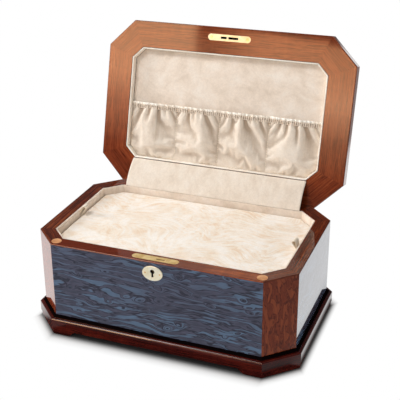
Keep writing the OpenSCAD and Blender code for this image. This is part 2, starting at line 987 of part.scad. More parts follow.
module lid_back_rail() {
    color("#8f4f2d")
    in_lid()
    difference() {
        lid_length(BACK);
        at_hinges() {
            translate([-hinge_len / 2 - pilot_fit, leaf_y - pilot_fit, z_lid - over])
            cube([hinge_len + 2 * pilot_fit, hinge_y - leaf_y, leaf_t + over]);
            translate([-hinge_len / 2 - knuckle_gap, hinge_y, z_lid - over])
            cube([hinge_len + 2 * knuckle_gap, lid_over + over, hinge_z + knuckle_room - z_lid + over]);
        }
        knuckle_notch();
        translate([0, 0, z_lid]) at_leaf_screws() mirror([0, 0, 1]) screw_hole();
    }
}

module lid_left_rail() {
    color("#9c5a35") in_lid() lid_length(LEFT);
}

module lid_right_rail() {
    color("#9c5a35") in_lid() lid_length(RIGHT);
}

module lid_corners() {
    color("#93532f") in_lid() for (k = CORNERS) lid_length(k);
}

module lid_top_board() {
    color("#5f2016")
    in_lid()
    hull()
    for (p = top_edge())
        translate([0, 0, max(z_top, p[1] - slice)])
        linear_extrude(slice)
        polygon(outline(lid_over - p[0]));
}

module lid_top_veneer() {
    color("#2f4257")
    in_lid()
    octagon_board(lid_over - field_inset, z_top + lid_top_t, z_top + lid_top_t + veneer_t * 0.3);
}

module lid_lining_edge() {
    color("#e9dcc6")
    in_lid()
    for (k = [0:7]) side_board(k, lid_inner, recess_in, z_lid + recess_drop, z_recess);
}

module lid_lining_panel() {
    color("#e0cfb6") in_lid() octagon_board(lid_inner, z_recess, z_top);
}

// Pocket cloth

// Half the width of the recess at height y, less at its chamfered foot
function cloth_half(y) =
    body_w / 2 + recess_in - loose_fit - max(0, y - (cloth_foot_y - cloth_leg));

// Gap between the cloth and the panel, in pocket p at part s of its width and part v of its height
function cloth_gap(s, v, p) =
    let (
        rise = mouth_gap + (belly_gap - mouth_gap) * sin(min(180, 200 * v)),
        fall = v < 0.55 ? 1 : cos(90 * (v - 0.55) / 0.45),
        across = pow(sin(180 * s), 0.5),
        folds = fold_h * sin(360 * fold_count * s + 70 * p) * (1 - v) * sin(180 * s)
    )
    max(0, rise * fall * across + folds * min(1, 6 * v));

// Points of one face of the cloth, set off from the panel by lift
function cloth_face(rows, y0, y1, v0, v1, lift) =
    [for (r = [0:rows], p = [0:3], i = [0:(p == 3 ? cloth_cols : cloth_cols - 1)])
        let (
            t = r / rows,
            y = y0 + (y1 - y0) * t,
            v = v0 + (v1 - v0) * t,
            s = i / cloth_cols,
            edge = [-cloth_half(y), seam_left, seam_mid, seam_right, cloth_half(y)]
        )
        [edge[p] + (edge[p + 1] - edge[p]) * s, y, z_recess - cloth_gap(s, v, p) - lift]];

// Closed sheet of cloth between two heights
module cloth_sheet(rows, y0, y1, v0, v1, thick) {
    n = 4 * cloth_cols + 1;
    m = n * (rows + 1);
    points = concat(cloth_face(rows, y0, y1, v0, v1, 0), cloth_face(rows, y0, y1, v0, v1, thick));
    quads = concat(
        [for (r = [0:rows - 1], i = [0:n - 2]) [r * n + i, (r + 1) * n + i, (r + 1) * n + i + 1, r * n + i + 1]],
        [for (r = [0:rows - 1], i = [0:n - 2])
            [m + r * n + i, m + r * n + i + 1, m + (r + 1) * n + i + 1, m + (r + 1) * n + i]],
        [for (i = [0:n - 2]) [i, i + 1, m + i + 1, m + i]],
        [for (i = [0:n - 2]) [rows * n + i, m + rows * n + i, m + rows * n + i + 1, rows * n + i + 1]],
        [for (r = [0:rows - 1]) [r * n, m + r * n, m + (r + 1) * n, (r + 1) * n]],
        [for (r = [0:rows - 1])
            [r * n + n - 1, (r + 1) * n + n - 1, m + (r + 1) * n + n - 1, m + r * n + n - 1]]
    );
    faces = [for (q = quads, h = [0, 1]) h == 0 ? [q[0], q[1], q[2]] : [q[0], q[2], q[3]]];
    polyhedron(points, faces);
}

module pocket_cloth() {
    color("#d9c2a0")
    in_lid()
    cloth_sheet(cloth_rows, pocket_mouth_y, cloth_foot_y, 0, 1, cloth_t);
}

module pocket_elastic() {
    color("#efe3cf")
    in_lid()
    cloth_sheet(1, pocket_mouth_y - elastic_w, pocket_mouth_y, 0, 0, cloth_t * 1.5);
}

module strike_plate() {
    color("#e0c06a")
    in_lid()
    difference() {
        translate([0, bolt_y, z_lid]) slot_plate(plate_l, strike_w, strike_t);
        translate([strike_slot_x, bolt_y - strike_slot_h / 2, z_lid - over])
        cube([strike_slot_w, strike_slot_h, strike_t + 2 * over]);
        translate([spare_slot_x, bolt_y - strike_slot_h / 2, z_lid - over])
        cube([spare_slot_w, strike_slot_h, strike_t + 2 * over]);
        translate([0, 0, z_lid]) at_plate_screws() mirror([0, 0, 1]) screw_hole();
    }
}

module strike_screws() {
    color("#c9a24c") in_lid() translate([0, 0, z_lid]) at_plate_screws() mirror([0, 0, 1]) screw();
}

// Cloth flap over the hinges, from the top of the lining to the foot of the recess

module hinge_flap() {
    foot = [body_d / 2 + in_lining + lining_t / 2, z_rim - lining_drop + 0.1];
    lid_y = body_d / 2 + recess_in + lining_t / 2;
    head = [open_y(lid_y, z_lid - 0.4), open_z(lid_y, z_lid - 0.4)];
    mid = (foot + head) / 2 + [-flap_bulge, flap_bulge] * 0.7;
    steps = 14;
    line = [for (i = [0:steps])
        let (t = i / steps)
        foot * (1 - t) * (1 - t) + mid * 2 * t * (1 - t) + head * t * t];
    back = [for (i = [steps:-1:0])
        let (
            a = line[max(0, i - 1)],
            b = line[min(steps, i + 1)],
            d = (b - a) / norm(b - a)
        )
        line[i] + [-d[1], d[0]] * flap_t];
    color("#efe6d6")
    in_row()
    translate([-flap_w / 2, 0, 0])
    rotate([90, 0, 90])
    linear_extrude(flap_w)
    polygon(concat(line, back));
}

plinth_front();
plinth_back();
plinth_sides();
plinth_corners();
foot_front_right();
foot_back_right();
foot_back_left();
foot_front_left();
foot_pads();
floor_board();
front_panel();
back_panel();
left_panel();
right_panel();
corner_posts();
front_veneer();
back_veneer();
side_veneers();
corner_veneers();
rim_front();
rim_back();
rim_sides();
rim_corners();
lining_front();
lining_back();
lining_sides();
lining_corners();
lining_floor();
cover_ledges();
cover_board();
cover_pad();
pull_loop_left();
pull_loop_right();
lock_case();
lock_plate();
lock_screws();
lock_drum();
lock_bolt();
escutcheon();
escutcheon_screws();
bumpers();
hinge_body_leaves();
hinge_pins();
hinge_body_screws();
hinge_lid_leaves();
hinge_lid_screws();
lid_front_rail();
lid_back_rail();
lid_left_rail();
lid_right_rail();
lid_corners();
lid_top_board();
lid_top_veneer();
lid_lining_edge();
lid_lining_panel();
pocket_cloth();
pocket_elastic();
strike_plate();
strike_screws();
hinge_flap();
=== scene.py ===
# %% [markdown]
# # A keepsake box in lacquered veneer
# The box is built in CAD and loaded here as a fixed frame. Blender adds what CAD leaves out: the figure of
# the veneers, the lacquer, the nap of the suede, and the cloth of the pocket.

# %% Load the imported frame
import json
import math

import bmesh
import bpy
import numpy as np
from mathutils import Matrix, Vector, noise

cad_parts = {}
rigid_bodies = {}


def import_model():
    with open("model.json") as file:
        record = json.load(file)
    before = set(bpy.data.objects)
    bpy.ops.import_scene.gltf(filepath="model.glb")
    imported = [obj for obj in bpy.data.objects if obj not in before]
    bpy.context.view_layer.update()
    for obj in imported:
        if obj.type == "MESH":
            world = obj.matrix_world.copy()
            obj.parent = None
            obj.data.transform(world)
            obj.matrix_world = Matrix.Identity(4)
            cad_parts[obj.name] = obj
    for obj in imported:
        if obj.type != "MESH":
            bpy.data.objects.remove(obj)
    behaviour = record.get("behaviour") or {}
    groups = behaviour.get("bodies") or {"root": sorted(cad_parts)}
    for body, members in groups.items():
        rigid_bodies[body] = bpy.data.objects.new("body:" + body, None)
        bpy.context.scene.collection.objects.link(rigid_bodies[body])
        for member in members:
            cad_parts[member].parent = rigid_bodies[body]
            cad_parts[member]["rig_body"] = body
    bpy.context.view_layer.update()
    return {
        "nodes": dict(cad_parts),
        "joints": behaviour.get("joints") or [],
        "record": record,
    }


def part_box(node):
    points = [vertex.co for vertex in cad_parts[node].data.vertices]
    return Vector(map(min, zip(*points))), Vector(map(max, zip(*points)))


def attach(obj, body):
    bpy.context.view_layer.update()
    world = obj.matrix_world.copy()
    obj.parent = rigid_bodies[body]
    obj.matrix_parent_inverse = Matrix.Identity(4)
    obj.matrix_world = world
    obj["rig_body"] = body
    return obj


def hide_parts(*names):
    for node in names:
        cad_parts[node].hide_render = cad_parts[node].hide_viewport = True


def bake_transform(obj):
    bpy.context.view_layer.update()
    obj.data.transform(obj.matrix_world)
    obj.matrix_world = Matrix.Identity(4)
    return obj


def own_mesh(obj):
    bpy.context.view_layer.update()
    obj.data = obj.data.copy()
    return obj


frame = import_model()
nodes = frame["nodes"]
slots = {part["node"]: part["material_slot"] for part in frame["record"]["subparts"]}
scene = bpy.context.scene
scene.view_settings.view_transform = "Standard"

# %% [markdown]
# The plan of the box is a rectangle with its corners cut at 45 degrees. Linings, pads and strips all follow
# that outline at some distance inside it, so one function gives its eight corners at any offset. The sides
# are counted from the front anticlockwise, as seen from above.

# %% Sizes of the box, in metres
MM = 0.001
half_w = 175 * MM
half_d = 111.5 * MM
corner_leg = 34 * MM
recess_deep = 10 * MM
middle_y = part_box("front_veneer")[0].y + half_d
z_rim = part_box("rim_front")[1].z
z_lid = z_rim + 0.8 * MM


def plan(off):
    """Half the width, half the depth and the leg of the cut corner, moved out by off."""
    return half_w + off, half_d + off, corner_leg + off * (2 - math.sqrt(2))


def outline(off):
    """The eight corners of the plan, moved out by off."""
    a, b, leg = plan(off)
    corners = [(-a + leg, -b), (a - leg, -b), (a, -b + leg), (a, b - leg),
               (a - leg, b), (-a + leg, b), (-a, b - leg), (-a, -b + leg)]
    return [Vector((x, y + middle_y)) for x, y in corners]


print("middle of the box lies at y", round(middle_y * 1000, 2), "mm, its rim at", round(z_rim * 1000, 1))

# %% [markdown]
# The photo shows the lid open. It is easier to shape the parts of the lid lying shut, as a joiner does, and
# to turn them about the hinge pin afterwards. The frame gives the pin and the angle.

# %% Turn of the open lid
lid_joint = next(j for j in frame["joints"] if j["name"] == "lid_hinge")
pin = Vector(lid_joint["pos_m"])
open_turn = Matrix.Translation(pin) @ Matrix.Rotation(
    -math.radians(lid_joint["range_deg"][1]), 4, "X") @ Matrix.Translation(-pin)
shut_turn = open_turn.inverted()
lid_nodes = {n for n, o in nodes.items() if o.get("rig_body") == "lid"}


def plain(v):
    return v


def in_open_lid(v):
    return open_turn @ v


print("pin", [round(v * 1000, 1) for v in pin], "mm, opened", lid_joint["range_deg"][1], "degrees")

# %% [markdown]
# ## Camera
# The corners of the box were measured in the photo, and a camera was fitted to them: a lens of 84 mm, about
# 1.23 m away, 23 degrees to the right and 25 degrees up. A small shift stands for the crop of the photo.

# %% Camera of the photo
camera_data = bpy.data.cameras.new("photo_camera")
camera = bpy.data.objects.new("photo_camera", camera_data)
scene.collection.objects.link(camera)
scene.camera = camera
camera_data.sensor_width, camera_data.lens = 36, 84.03
camera_data.shift_x, camera_data.shift_y = 0.069, 0.0111
azimuth, elevation, roll = math.radians(22.76), math.radians(24.81), math.radians(-1.14)
away = 1.226
target = Vector((-0.01862, middle_y, z_rim + 0.02597))
back = Vector((math.sin(azimuth) * math.cos(elevation), -math.cos(azimuth) * math.cos(elevation),
               math.sin(elevation)))
right = (-back).cross(Vector((0, 0, 1))).normalized()
up = right.cross(-back)
across = right * math.cos(roll) + up * math.sin(roll)
upward = -right * math.sin(roll) + up * math.cos(roll)
camera.matrix_world = Matrix.Translation(target + back * away) @ Matrix(
    (across, upward, back)).transposed().to_4x4()
camera_data.clip_start, camera_data.clip_end = 0.05, 50
print("camera at", [round(v, 3) for v in camera.matrix_world.translation])

# %% [markdown]
# ## Small helpers for node trees
# A finish is a small graph of nodes. What comes out of a node is wrapped as a Flow, which knows its tree and
# can be reckoned with: writing broad * 0.5 + fibre adds the two Math nodes. So a finish reads as a recipe.


# %% Flows and nodes
class Flow:
    """One output of a node. Reckoning with it adds Math nodes to its tree."""

    def __init__(self, socket):
        self.socket, self.tree = socket, socket.id_data

    def __add__(self, other):
        return calc("ADD", self, other)

    def __sub__(self, other):
        return calc("SUBTRACT", self, other)

    def __rsub__(self, other):
        return calc("SUBTRACT", other, self)

    def __mul__(self, other):
        return calc("MULTIPLY", self, other)

    def __truediv__(self, other):
        return calc("DIVIDE", self, other)


def feed(node, values):
    """Sets or links the inputs of a node."""
    for key, value in values.items():
        if isinstance(value, Flow):
            value.tree.links.new(value.socket, node.inputs[key])
        else:
            node.inputs[key].default_value = value
    return node


def add(tree, kind, values=None, **settings):
    node = tree.nodes.new(kind)
    for key, value in settings.items():
        setattr(node, key, value)
    return feed(node, values or {})


def flow(tree, kind, values=None, output=0, **settings):
    """Adds a node and passes on one of its outputs."""
    return Flow(add(tree, kind, values, **settings).outputs[output])


def calc(operation, a, b=0.0):
    tree = (a if isinstance(a, Flow) else b).tree
    return flow(tree, "ShaderNodeMath", {0: a, 1: b}, operation=operation)


def most(first, *others):
    """The largest of some values."""
    for other in others:
        first = calc("MAXIMUM", first, other)
    return first


# %% Noise, ramps and mixing
def xyz(vector):
    return [Flow(s) for s in add(vector.tree, "ShaderNodeSeparateXYZ", {0: vector}).outputs]


def cloud(vector, detail=2.0, rough=0.5, warp=0.0, scale=1.0, output=0):
    """Noise between 0 and 1."""
    return flow(vector.tree, "ShaderNodeTexNoise", {"Vector": vector, "Scale": scale, "Detail": detail,
                "Roughness": rough, "Distortion": warp}, output)


def ramp(factor, stops):
    """Colours along a factor; stops are (place, colour)."""
    node = add(factor.tree, "ShaderNodeValToRGB", {0: factor})
    elements = node.color_ramp.elements
    while len(elements) < len(stops):
        elements.new(0.5)
    for element, (place, colour) in zip(elements, stops):
        element.position = place
        element.color = (*colour, 1)
    return Flow(node.outputs[0])


def step(value, low, high, to_low=0.0, to_high=1.0):
    """Runs smoothly from to_low to to_high while value runs from low to high."""
    return flow(value.tree, "ShaderNodeMapRange", {0: value, 1: low, 2: high, 3: to_low, 4: to_high},
                interpolation_type="SMOOTHSTEP")


def blend_colours(factor, a, b, mode="MIX"):
    tree = next(v.tree for v in (factor, a, b) if isinstance(v, Flow))
    a, b = (v if isinstance(v, Flow) else (*v, 1) for v in (a, b))
    return flow(tree, "ShaderNodeMix", {0: factor, 6: a, 7: b}, 2, data_type="RGBA", blend_type=mode)


def mottled(colour, value, low, high):
    """Makes a colour a little darker and paler with a noise."""
    return blend_colours(1.0, colour, ramp(value, [(0.3, (low,) * 3), (0.7, (high,) * 3)]), "MULTIPLY")


def turned(vector, scale=(1, 1, 1), turn=(0, 0, 0), move=(0, 0, 0)):
    """A vector after a Mapping node; turn in degrees."""
    return flow(vector.tree, "ShaderNodeMapping", {"Vector": vector, "Location": move,
                "Rotation": [math.radians(t) for t in turn], "Scale": scale})


def bent(place, swirls, by):
    """A place pushed about by a coloured noise."""
    shift = flow(place.tree, "ShaderNodeVectorMath", {0: swirls, 1: (0.5, 0.5, 0.5)}, operation="SUBTRACT")
    return flow(place.tree, "ShaderNodeVectorMath", {0: shift, 1: by, 2: place}, operation="MULTIPLY_ADD")


def bump(height, strength, distance):
    return flow(height.tree, "ShaderNodeBump", {"Height": height, "Strength": strength, "Distance": distance})


def attribute(tree, name, output="Fac"):
    return flow(tree, "ShaderNodeAttribute", output=output, attribute_name=name)


def object_place(tree):
    return flow(tree, "ShaderNodeTexCoord", output="Object")


finishes = {}


def new_finish(name):
    """An empty material, kept by its name, with its tree and its principled shader."""
    finishes[name] = bpy.data.materials.new(name)
    finishes[name].use_nodes = True
    tree = finishes[name].node_tree
    return tree, tree.nodes["Principled BSDF"]


def srgb(r, g, b):
    """A colour as a paint program shows it, 0 to 255, turned into the linear light that Blender uses."""
    return tuple((v / 255 / 12.92) if v <= 10 else ((v / 255 + 0.055) / 1.055) ** 2.4 for v in (r, g, b))


def by_ray(tree, falling, mirrored, seen):
    """Joins three shaders: what lights the box, what its lacquer mirrors, and what the camera sees."""
    path = add(tree, "ShaderNodeLightPath").outputs
    first = flow(tree, "ShaderNodeMixShader", {0: Flow(path["Is Glossy Ray"]), 1: falling, 2: mirrored})
    return flow(tree, "ShaderNodeMixShader", {0: Flow(path["Is Camera Ray"]), 1: first, 2: seen})


# %% [markdown]
# ## Studio
# The photo was taken on a white sweep under a large soft lamp. The world gives even light from all round.
# Lacquer shows something else: a dark room with cards in it, seen only through a window in front. Two warm
# glows stand low on either side of a narrow dim card. The left one is brighter and reaches up to a pale card
# overhead. The right one ends under a dark band. So the left of the lid frame is paler than the right.

# %% World and lamps
world = bpy.data.worlds.new("studio")
scene.world = world
world.use_nodes = True
wt = world.node_tree
wt.nodes.clear()
dx, dy, dz = xyz(flow(wt, "ShaderNodeTexCoord", output="Generated"))
front = step(dy, -0.45, -0.62) * step(dx, -0.70, -0.60) * step(dx, 0.42, 0.30)
black = (0.02, 0.02, 0.02)
left_glow = ramp(dz * 3.0, [(0.36, black), (0.51, (0.85, 0.43, 0.24)), (0.60, (1.6, 0.85, 0.45)),
                            (0.77, (1.25, 0.72, 0.38))])
right_glow = ramp(dz * 3.0, [(0.36, black), (0.48, (0.37, 0.24, 0.14)), (0.60, (1.5, 0.82, 0.45)),
                             (0.70, (1.1, 0.58, 0.3)), (0.775, (1.0, 0.52, 0.26)), (0.79, black)])
cards = (0.010, 0.010, 0.010)
for where, card_colour in ((step(dz, 0.262, 0.236), (0.32, 0.2, 0.11)),
                           (step(dx, -0.342, -0.27), right_glow),
                           (step(dx, -0.343, -0.352), left_glow),
                           (step(dz, 0.58, 0.66), (0.55, 0.42, 0.36))):
    cards = blend_colours(front * where, cards, card_colour)
even, mirrored, seen = (
    flow(wt, "ShaderNodeBackground", {"Color": colour, "Strength": strength}) for colour, strength in
    (((1.0, 0.985, 0.965, 1), 0.47), (cards, 12.0), ((1, 1, 1, 1), 1.0)))
add(wt, "ShaderNodeOutputWorld", {0: by_ray(wt, even, mirrored, seen)})


def softbox(name, place, aim, size, power):
    """A rectangular studio lamp at place that faces aim."""
    data = bpy.data.lights.new(name, "AREA")
    data.shape, data.size, data.size_y, data.energy = "RECTANGLE", size[0], size[1], power
    lamp = bpy.data.objects.new(name, data)
    scene.collection.objects.link(lamp)
    lamp.matrix_world = Matrix.Translation(place) @ (
        (Vector(place) - Vector(aim)).to_track_quat("Z", "Y").to_matrix().to_4x4())
    return lamp


softbox("key_softbox", (-0.62, -0.72, 1.5), (0, 0, 0.12), (0.55, 0.55), 11)
softbox("left_softbox", (-1.7, -0.25, 0.75), (0, 0.05, 0.2), (0.3, 0.8), 16).visible_glossy = False

# %% [markdown]
# To the lamps the floor is plain white, and a little way from the box it shows as pure white, so that only the
# dark line of contact is left of the shadow. That line is the real shadow, deepened by a painted shadow: the
# floor's colour turns dark grey close to the box. For reflections the floor glows though it is no lamp, and not
# evenly: beside and behind the box it stands in for a lit back wall, so the lacquer of the right side and of the
# left corner shows a painted white glare there, and the front does not. Close to the box the glow is painted
# dark, so the plinth stays dark.

# %% Floor
floor_mesh = bpy.data.meshes.new("floor")
floor_mesh.from_pydata([(-6, -6, 0), (6, -6, 0), (6, 6, 0), (-6, 6, 0)], [], [(0, 1, 2, 3)])
floor = bpy.data.objects.new("floor", floor_mesh)
scene.collection.objects.link(floor)
floor_finish = bpy.data.materials.new("white_floor")
floor_finish.use_nodes = True
ft = floor_finish.node_tree
ft.nodes.clear()
fx, fy, _ = xyz(object_place(ft))
beside, behind = calc("ABSOLUTE", fx), calc("ABSOLUTE", fy - middle_y)
plinth_out, plinth_corner_out = 7 * MM, 10 * MM
gap_x = beside - (half_w + plinth_out)
gap_y = behind - (half_d + plinth_out)
gap_c = beside + behind - (half_w + half_d - corner_leg + plinth_corner_out)
right_zone = step(fx, 0.16, 0.2) * step(fx, 0.30, 0.275)
left_zone = step(fx, -0.16, -0.2) * step(fx, -0.50, -0.40)
zone = most(right_zone, left_zone) * step(fy, -0.145, -0.09)
far = most(step(gap_y, 0.024, 0.036), step(gap_c, 0.016, 0.028), step(gap_x, 0.003, 0.009),
           step(fx, -0.172, -0.185))
# Painted reflection: light that only reflections see, dark close to the box.
glare = (zone * 1.12 + 0.40) * far + 0.04
beyond = most(gap_x / 0.012, gap_y / 0.030, gap_c / 0.030)
white = flow(ft, "ShaderNodeBsdfDiffuse", {"Color": (0.9, 0.9, 0.9, 1)})
# Painted contact shadow: the floor's colour is dark grey at the box and pales outwards.
painted_contact_shadow = flow(ft, "ShaderNodeBsdfDiffuse", {"Color": ramp(beyond, [(0.0, (0.16,) * 3), (0.35, (0.7,) * 3)])})
lift, glow_for_reflections = (flow(ft, "ShaderNodeEmission", {"Color": (1, 1, 1, 1), "Strength": strength})
                      for strength in (1.0, glare))
shown = flow(ft, "ShaderNodeMixShader", {0: step(beyond, -0.1, 0.75), 1: painted_contact_shadow, 2: lift})
add(ft, "ShaderNodeOutputMaterial", {0: by_ray(ft, white, glow_for_reflections, shown)})
floor_mesh.materials.append(floor_finish)

# %% [markdown]
# ## Finishes in wood
# Solid mahogany has fine fibres along the board, broad soft bands, tiny dark pores, and a silky ripple
# across. All of that is noise stretched along the grain. Each wooden piece carries its own grain directions
# as an attribute, so the figure runs along every rail and turns at every mitre, as it does on real joinery.


# %% Solid mahogany under lacquer
def lacquer(shader, gloss=0.04, ior=1.45):
    """A clear coat over the wood. These numbers are the same all over, so they sit on the sockets."""
    feed(shader, {"Coat Weight": 1.0, "Coat Roughness": gloss, "Coat IOR": ior, "Specular IOR Level": 0.0})


def mahogany(name, shades, bands=0.5, ripple=0.14, drift=0.0, ior=1.45):
    dark, middle, pale = (srgb(*shade) for shade in shades)
    tree, shader = new_finish(name)
    grain = attribute(tree, "grain", "Vector")
    broad = cloud(turned(grain, (5, 85, 85)), 3, 0.55, 0.5)
    fibre = cloud(turned(grain, (16, 700, 700)), 4, 0.6, 0.3)
    silky = cloud(turned(grain, (90, 22, 22)), 2, 0.5, 0.8)
    pore = cloud(turned(grain, (90, 2300, 2300)), 1)
    fleck = cloud(turned(grain, (34, 950, 950), move=(5, 3, 1)), 2, 0.5, 0.3)
    tone = broad * bands + fibre * (1 - bands) + (silky - 0.5) * ripple
    if drift:
        tone = tone + xyz(grain)[0] * drift
    colour = ramp(tone, [(0.32, dark), (0.5, middle), (0.70, pale)])
    colour = blend_colours(step(pore, 0.60, 0.70, 0.0, 0.6), colour, [v * 0.35 for v in dark])
    colour = blend_colours(step(fleck, 0.52, 0.64, 0.0, 0.72), colour, [v * 0.6 for v in dark])
    # Painted shade: points marked painted_shade turn nearly black and lose their lacquer coat.
    painted_shade = attribute(tree, "painted_shade")
    colour = blend_colours(painted_shade, colour, (0.004, 0.002, 0.002))
    lacquer(shader, ior=ior)
    feed(shader, {"Base Color": colour, "Roughness": step(fibre, 0.3, 0.7, 0.42, 0.55),
                  "Normal": bump(tone, 0.05, 0.0006), "Coat Weight": 1.0 - painted_shade})


mahogany("dark_mahogany", ((32, 6, 5), (70, 17, 12), (106, 35, 21)))
mahogany("light_mahogany", ((104, 36, 10), (156, 72, 22), (208, 124, 54)), drift=1.1)
mahogany("rim_mahogany", ((52, 16, 8), (98, 40, 20), (146, 76, 40)))
mahogany("lid_mahogany", ((88, 34, 15), (128, 56, 28), (156, 78, 42)), ior=1.33)
print("mahogany finishes", list(finishes))

# %% [markdown]
# The front is a sheet of burl that was dyed blue before it was lacquered. In a burl the year rings wander in
# flat waves and close round small eyes. Here a height is given to every place, as on a map: it rises across
# the sheet, a soft noise makes it wander, and every eye is a small hill. Pale flames follow the height lines,
# and a thin dark line runs along their edges.


# %% Burl veneer under lacquer
def burl(name, shades, rise=245.0, along=23.0, eye_size=(46, 90, 90), eye_hill=2.6, ior=1.45):
    deep, base, other, flame, vein = (srgb(*shade) for shade in shades)
    tree, shader = new_finish(name)
    grain = attribute(tree, "grain", "Vector")
    place = bent(grain, cloud(turned(grain, (9, 26, 26)), 3, output="Color"), (0.05, 0.02, 0.02))
    x, y, z = xyz(place)
    eyes = add(tree, "ShaderNodeTexVoronoi", {"Vector": turned(place, eye_size), "Scale": 1.0}).outputs
    from_eye = Flow(eyes["Distance"])
    present = step(flow(tree, "ShaderNodeSeparateColor", {0: Flow(eyes["Color"])}), 0.42, 0.46)
    hill = step(from_eye, 0.46, 0.0, 0.0, eye_hill) * present
    wander = cloud(turned(place, (14, 30, 30), move=(3, 1, 7)), 2, 0.45) * 5.5
    height = (y + z) * rise + hill + wander
    sheet = flow(tree, "ShaderNodeCombineXYZ", {0: x * along, 1: height})
    figure = cloud(sheet, 2, 0.45)
    fibre = cloud(turned(place, (60, 620, 620)), 3, 0.6)
    fine = cloud(turned(sheet, (6, 5.5, 1)))
    mass = cloud(turned(grain, (5, 14, 14), move=(7, 2, 5)))
    colour = blend_colours(step(fine, 0.40, 0.60), base, other)
    colour = blend_colours(step(figure, 0.46, 0.34, 0.0, 0.75), colour, deep)
    edge = figure + (fine - 0.5) * 0.10
    strong = step(mass, 0.38, 0.56, 0.35, 1.0)
    colour = blend_colours(step(edge, 0.52, 0.58) * strong * 0.9, colour, flame)
    off_line = calc("ABSOLUTE", edge - 0.50)
    colour = blend_colours(step(off_line, 0.045, 0.012, 0.0, 0.75), colour, vein)
    colour = blend_colours(step(from_eye, 0.16, 0.07, 0.0, 0.7) * present, colour, vein)
    feed(shader, {"Base Color": mottled(colour, fibre, 0.82, 1.16), "Normal": bump(figure, 0.04, 0.0006),
                  "Roughness": step(fibre, 0.3, 0.7, 0.40, 0.5)})
    lacquer(shader, 0.03, ior)


burl("blue_burl", ((62, 65, 81), (76, 81, 100), (80, 78, 96), (90, 113, 139), (32, 33, 45)))
burl("mahogany_burl", ((102, 42, 24), (128, 57, 33), (117, 50, 29), (136, 66, 38), (72, 27, 15)), rise=210.0,
     along=52.0, eye_size=(60, 110, 110), eye_hill=1.6, ior=1.38)
print("burls", [name for name in finishes if "burl" in name])

# %% [markdown]
# ## Cloth finishes
# Suede is the brushed inside of a skin: matt, with patches where the nap lies one way or the other. A soft
# noise gives the patches, a stretched one the strokes of the brush, and a very fine one the nap. A little
# sheen lightens it where it is seen at a slant. A mesh may carry a painted_crease_shade attribute, which paints
# shade into the cloth down in its folds. Card and plain boards are made in the same way, with strokes
# drawn out into fibres.


# %% Suede, ribbon, felt and card
def nap(name, *shades, patch=20, stroke=(40, 150, 40), lean=25, grit=900, depth=0.2, sheen=0.2, swirl=0.03,
        share=0.35, spread=(0.36, 0.5, 0.64)):
    shades = [srgb(*shade) for shade in shades]
    tree, shader = new_finish(name)
    place = object_place(tree)
    brushed = bent(place, cloud(place, 1, scale=11.0, output="Color"), (swirl,) * 3)
    patches = cloud(place, 3, 0.5, 0.6, scale=patch)
    strokes = cloud(turned(brushed, stroke, (0, 0, lean)), 4, 0.62, 0.4)
    tone = patches * share + strokes * (1 - share)
    fine = cloud(place, 2, 0.6, scale=grit)
    pebble = cloud(place, 2, 0.5, scale=grit * 0.36)
    colour = mottled(mottled(ramp(tone, list(zip(spread, shades))), fine, 0.95, 1.04), pebble, 0.965, 1.03)
    # Painted shade: down in its folds the cloth is darkened towards a deep brown.
    painted_fold_colour = [v * k for v, k in zip(shades[0], (0.40, 0.31, 0.23))]
    colour = blend_colours(attribute(tree, "painted_crease_shade"), colour, painted_fold_colour)
    feed(shader, {"Base Color": colour, "Roughness": step(fine, 0.3, 0.7, 0.86, 0.98),
                  "Normal": bump(tone * 0.8 + (pebble * 0.8 + fine), depth, 0.0005), "Sheen Weight": sheen,
                  "Sheen Roughness": 0.5, "Specular IOR Level": 0.2})


nap("suede", (222, 204, 186), (236, 220, 204), (243, 231, 218))
nap("pocket_suede", (222, 205, 187), (235, 221, 205), (242, 231, 218), patch=24, stroke=(90, 40, 60), lean=0,
    spread=(0.3, 0.5, 0.7))
nap("plush", (236, 212, 184), (246, 233, 216), (252, 245, 236), patch=34, stroke=(64, 210, 64), lean=-12,
    grit=700, depth=0.35, sheen=0.3, swirl=0.15, share=0.4, spread=(0.36, 0.47, 0.58))
nap("ribbon", (224, 206, 180), (241, 227, 206), (250, 240, 225), patch=60, stroke=(30, 900, 30), lean=0,
    grit=1400, depth=0.3, swirl=0.0)
# A paler copy of the suede, as painted light, for the edges that face the light: the lid strips and the elastic.
nap("painted_light_suede", (244, 229, 211), (251, 241, 227), (255, 250, 241))
nap("felt", (34, 30, 28), (48, 43, 40), (66, 60, 56), patch=160, grit=2200, depth=0.5)
nap("card", (168, 150, 122), (186, 170, 142), (200, 186, 160), patch=90, grit=1500, depth=0.1, sheen=0.0)
nap("bumper_wood", (176, 118, 78), (204, 148, 104), (222, 172, 128), patch=120, stroke=(40, 500, 500), lean=0,
    grit=1500, depth=0.15, sheen=0.0)
board = {"patch": 40, "stroke": (12, 260, 260), "lean": 0, "grit": 900, "depth": 0.1, "sheen": 0.0}
nap("core_wood", (166, 132, 88), (190, 158, 112), (208, 180, 136), **board)
# A near-black board: painted shade for the inside of the keyhole.
nap("keyhole_shade_core", (30, 20, 14), (42, 28, 20), (52, 36, 26), **board)
print("finishes so far", len(finishes))


# %% Brass
def brass_finish(name, dark, pale, low, high, metal_share):
    """Metal that hands have dulled in places: soft patches and fine rubbing marks change its roughness."""
    tree, shader = new_finish(name)
    place = object_place(tree)
    patches = cloud(place, 3, 0.6, 0.5, scale=90)
    marks = cloud(turned(place, (160, 2600, 900)))
    feed(shader, {"Base Color": ramp(patches, [(0.32, srgb(*dark)), (0.68, srgb(*pale))]),
                  "Metallic": metal_share, "Normal": bump(marks, 0.06, 0.0003),
                  "Roughness": step(marks * 0.5 + patches * 0.5, 0.35, 0.65, low, high)})


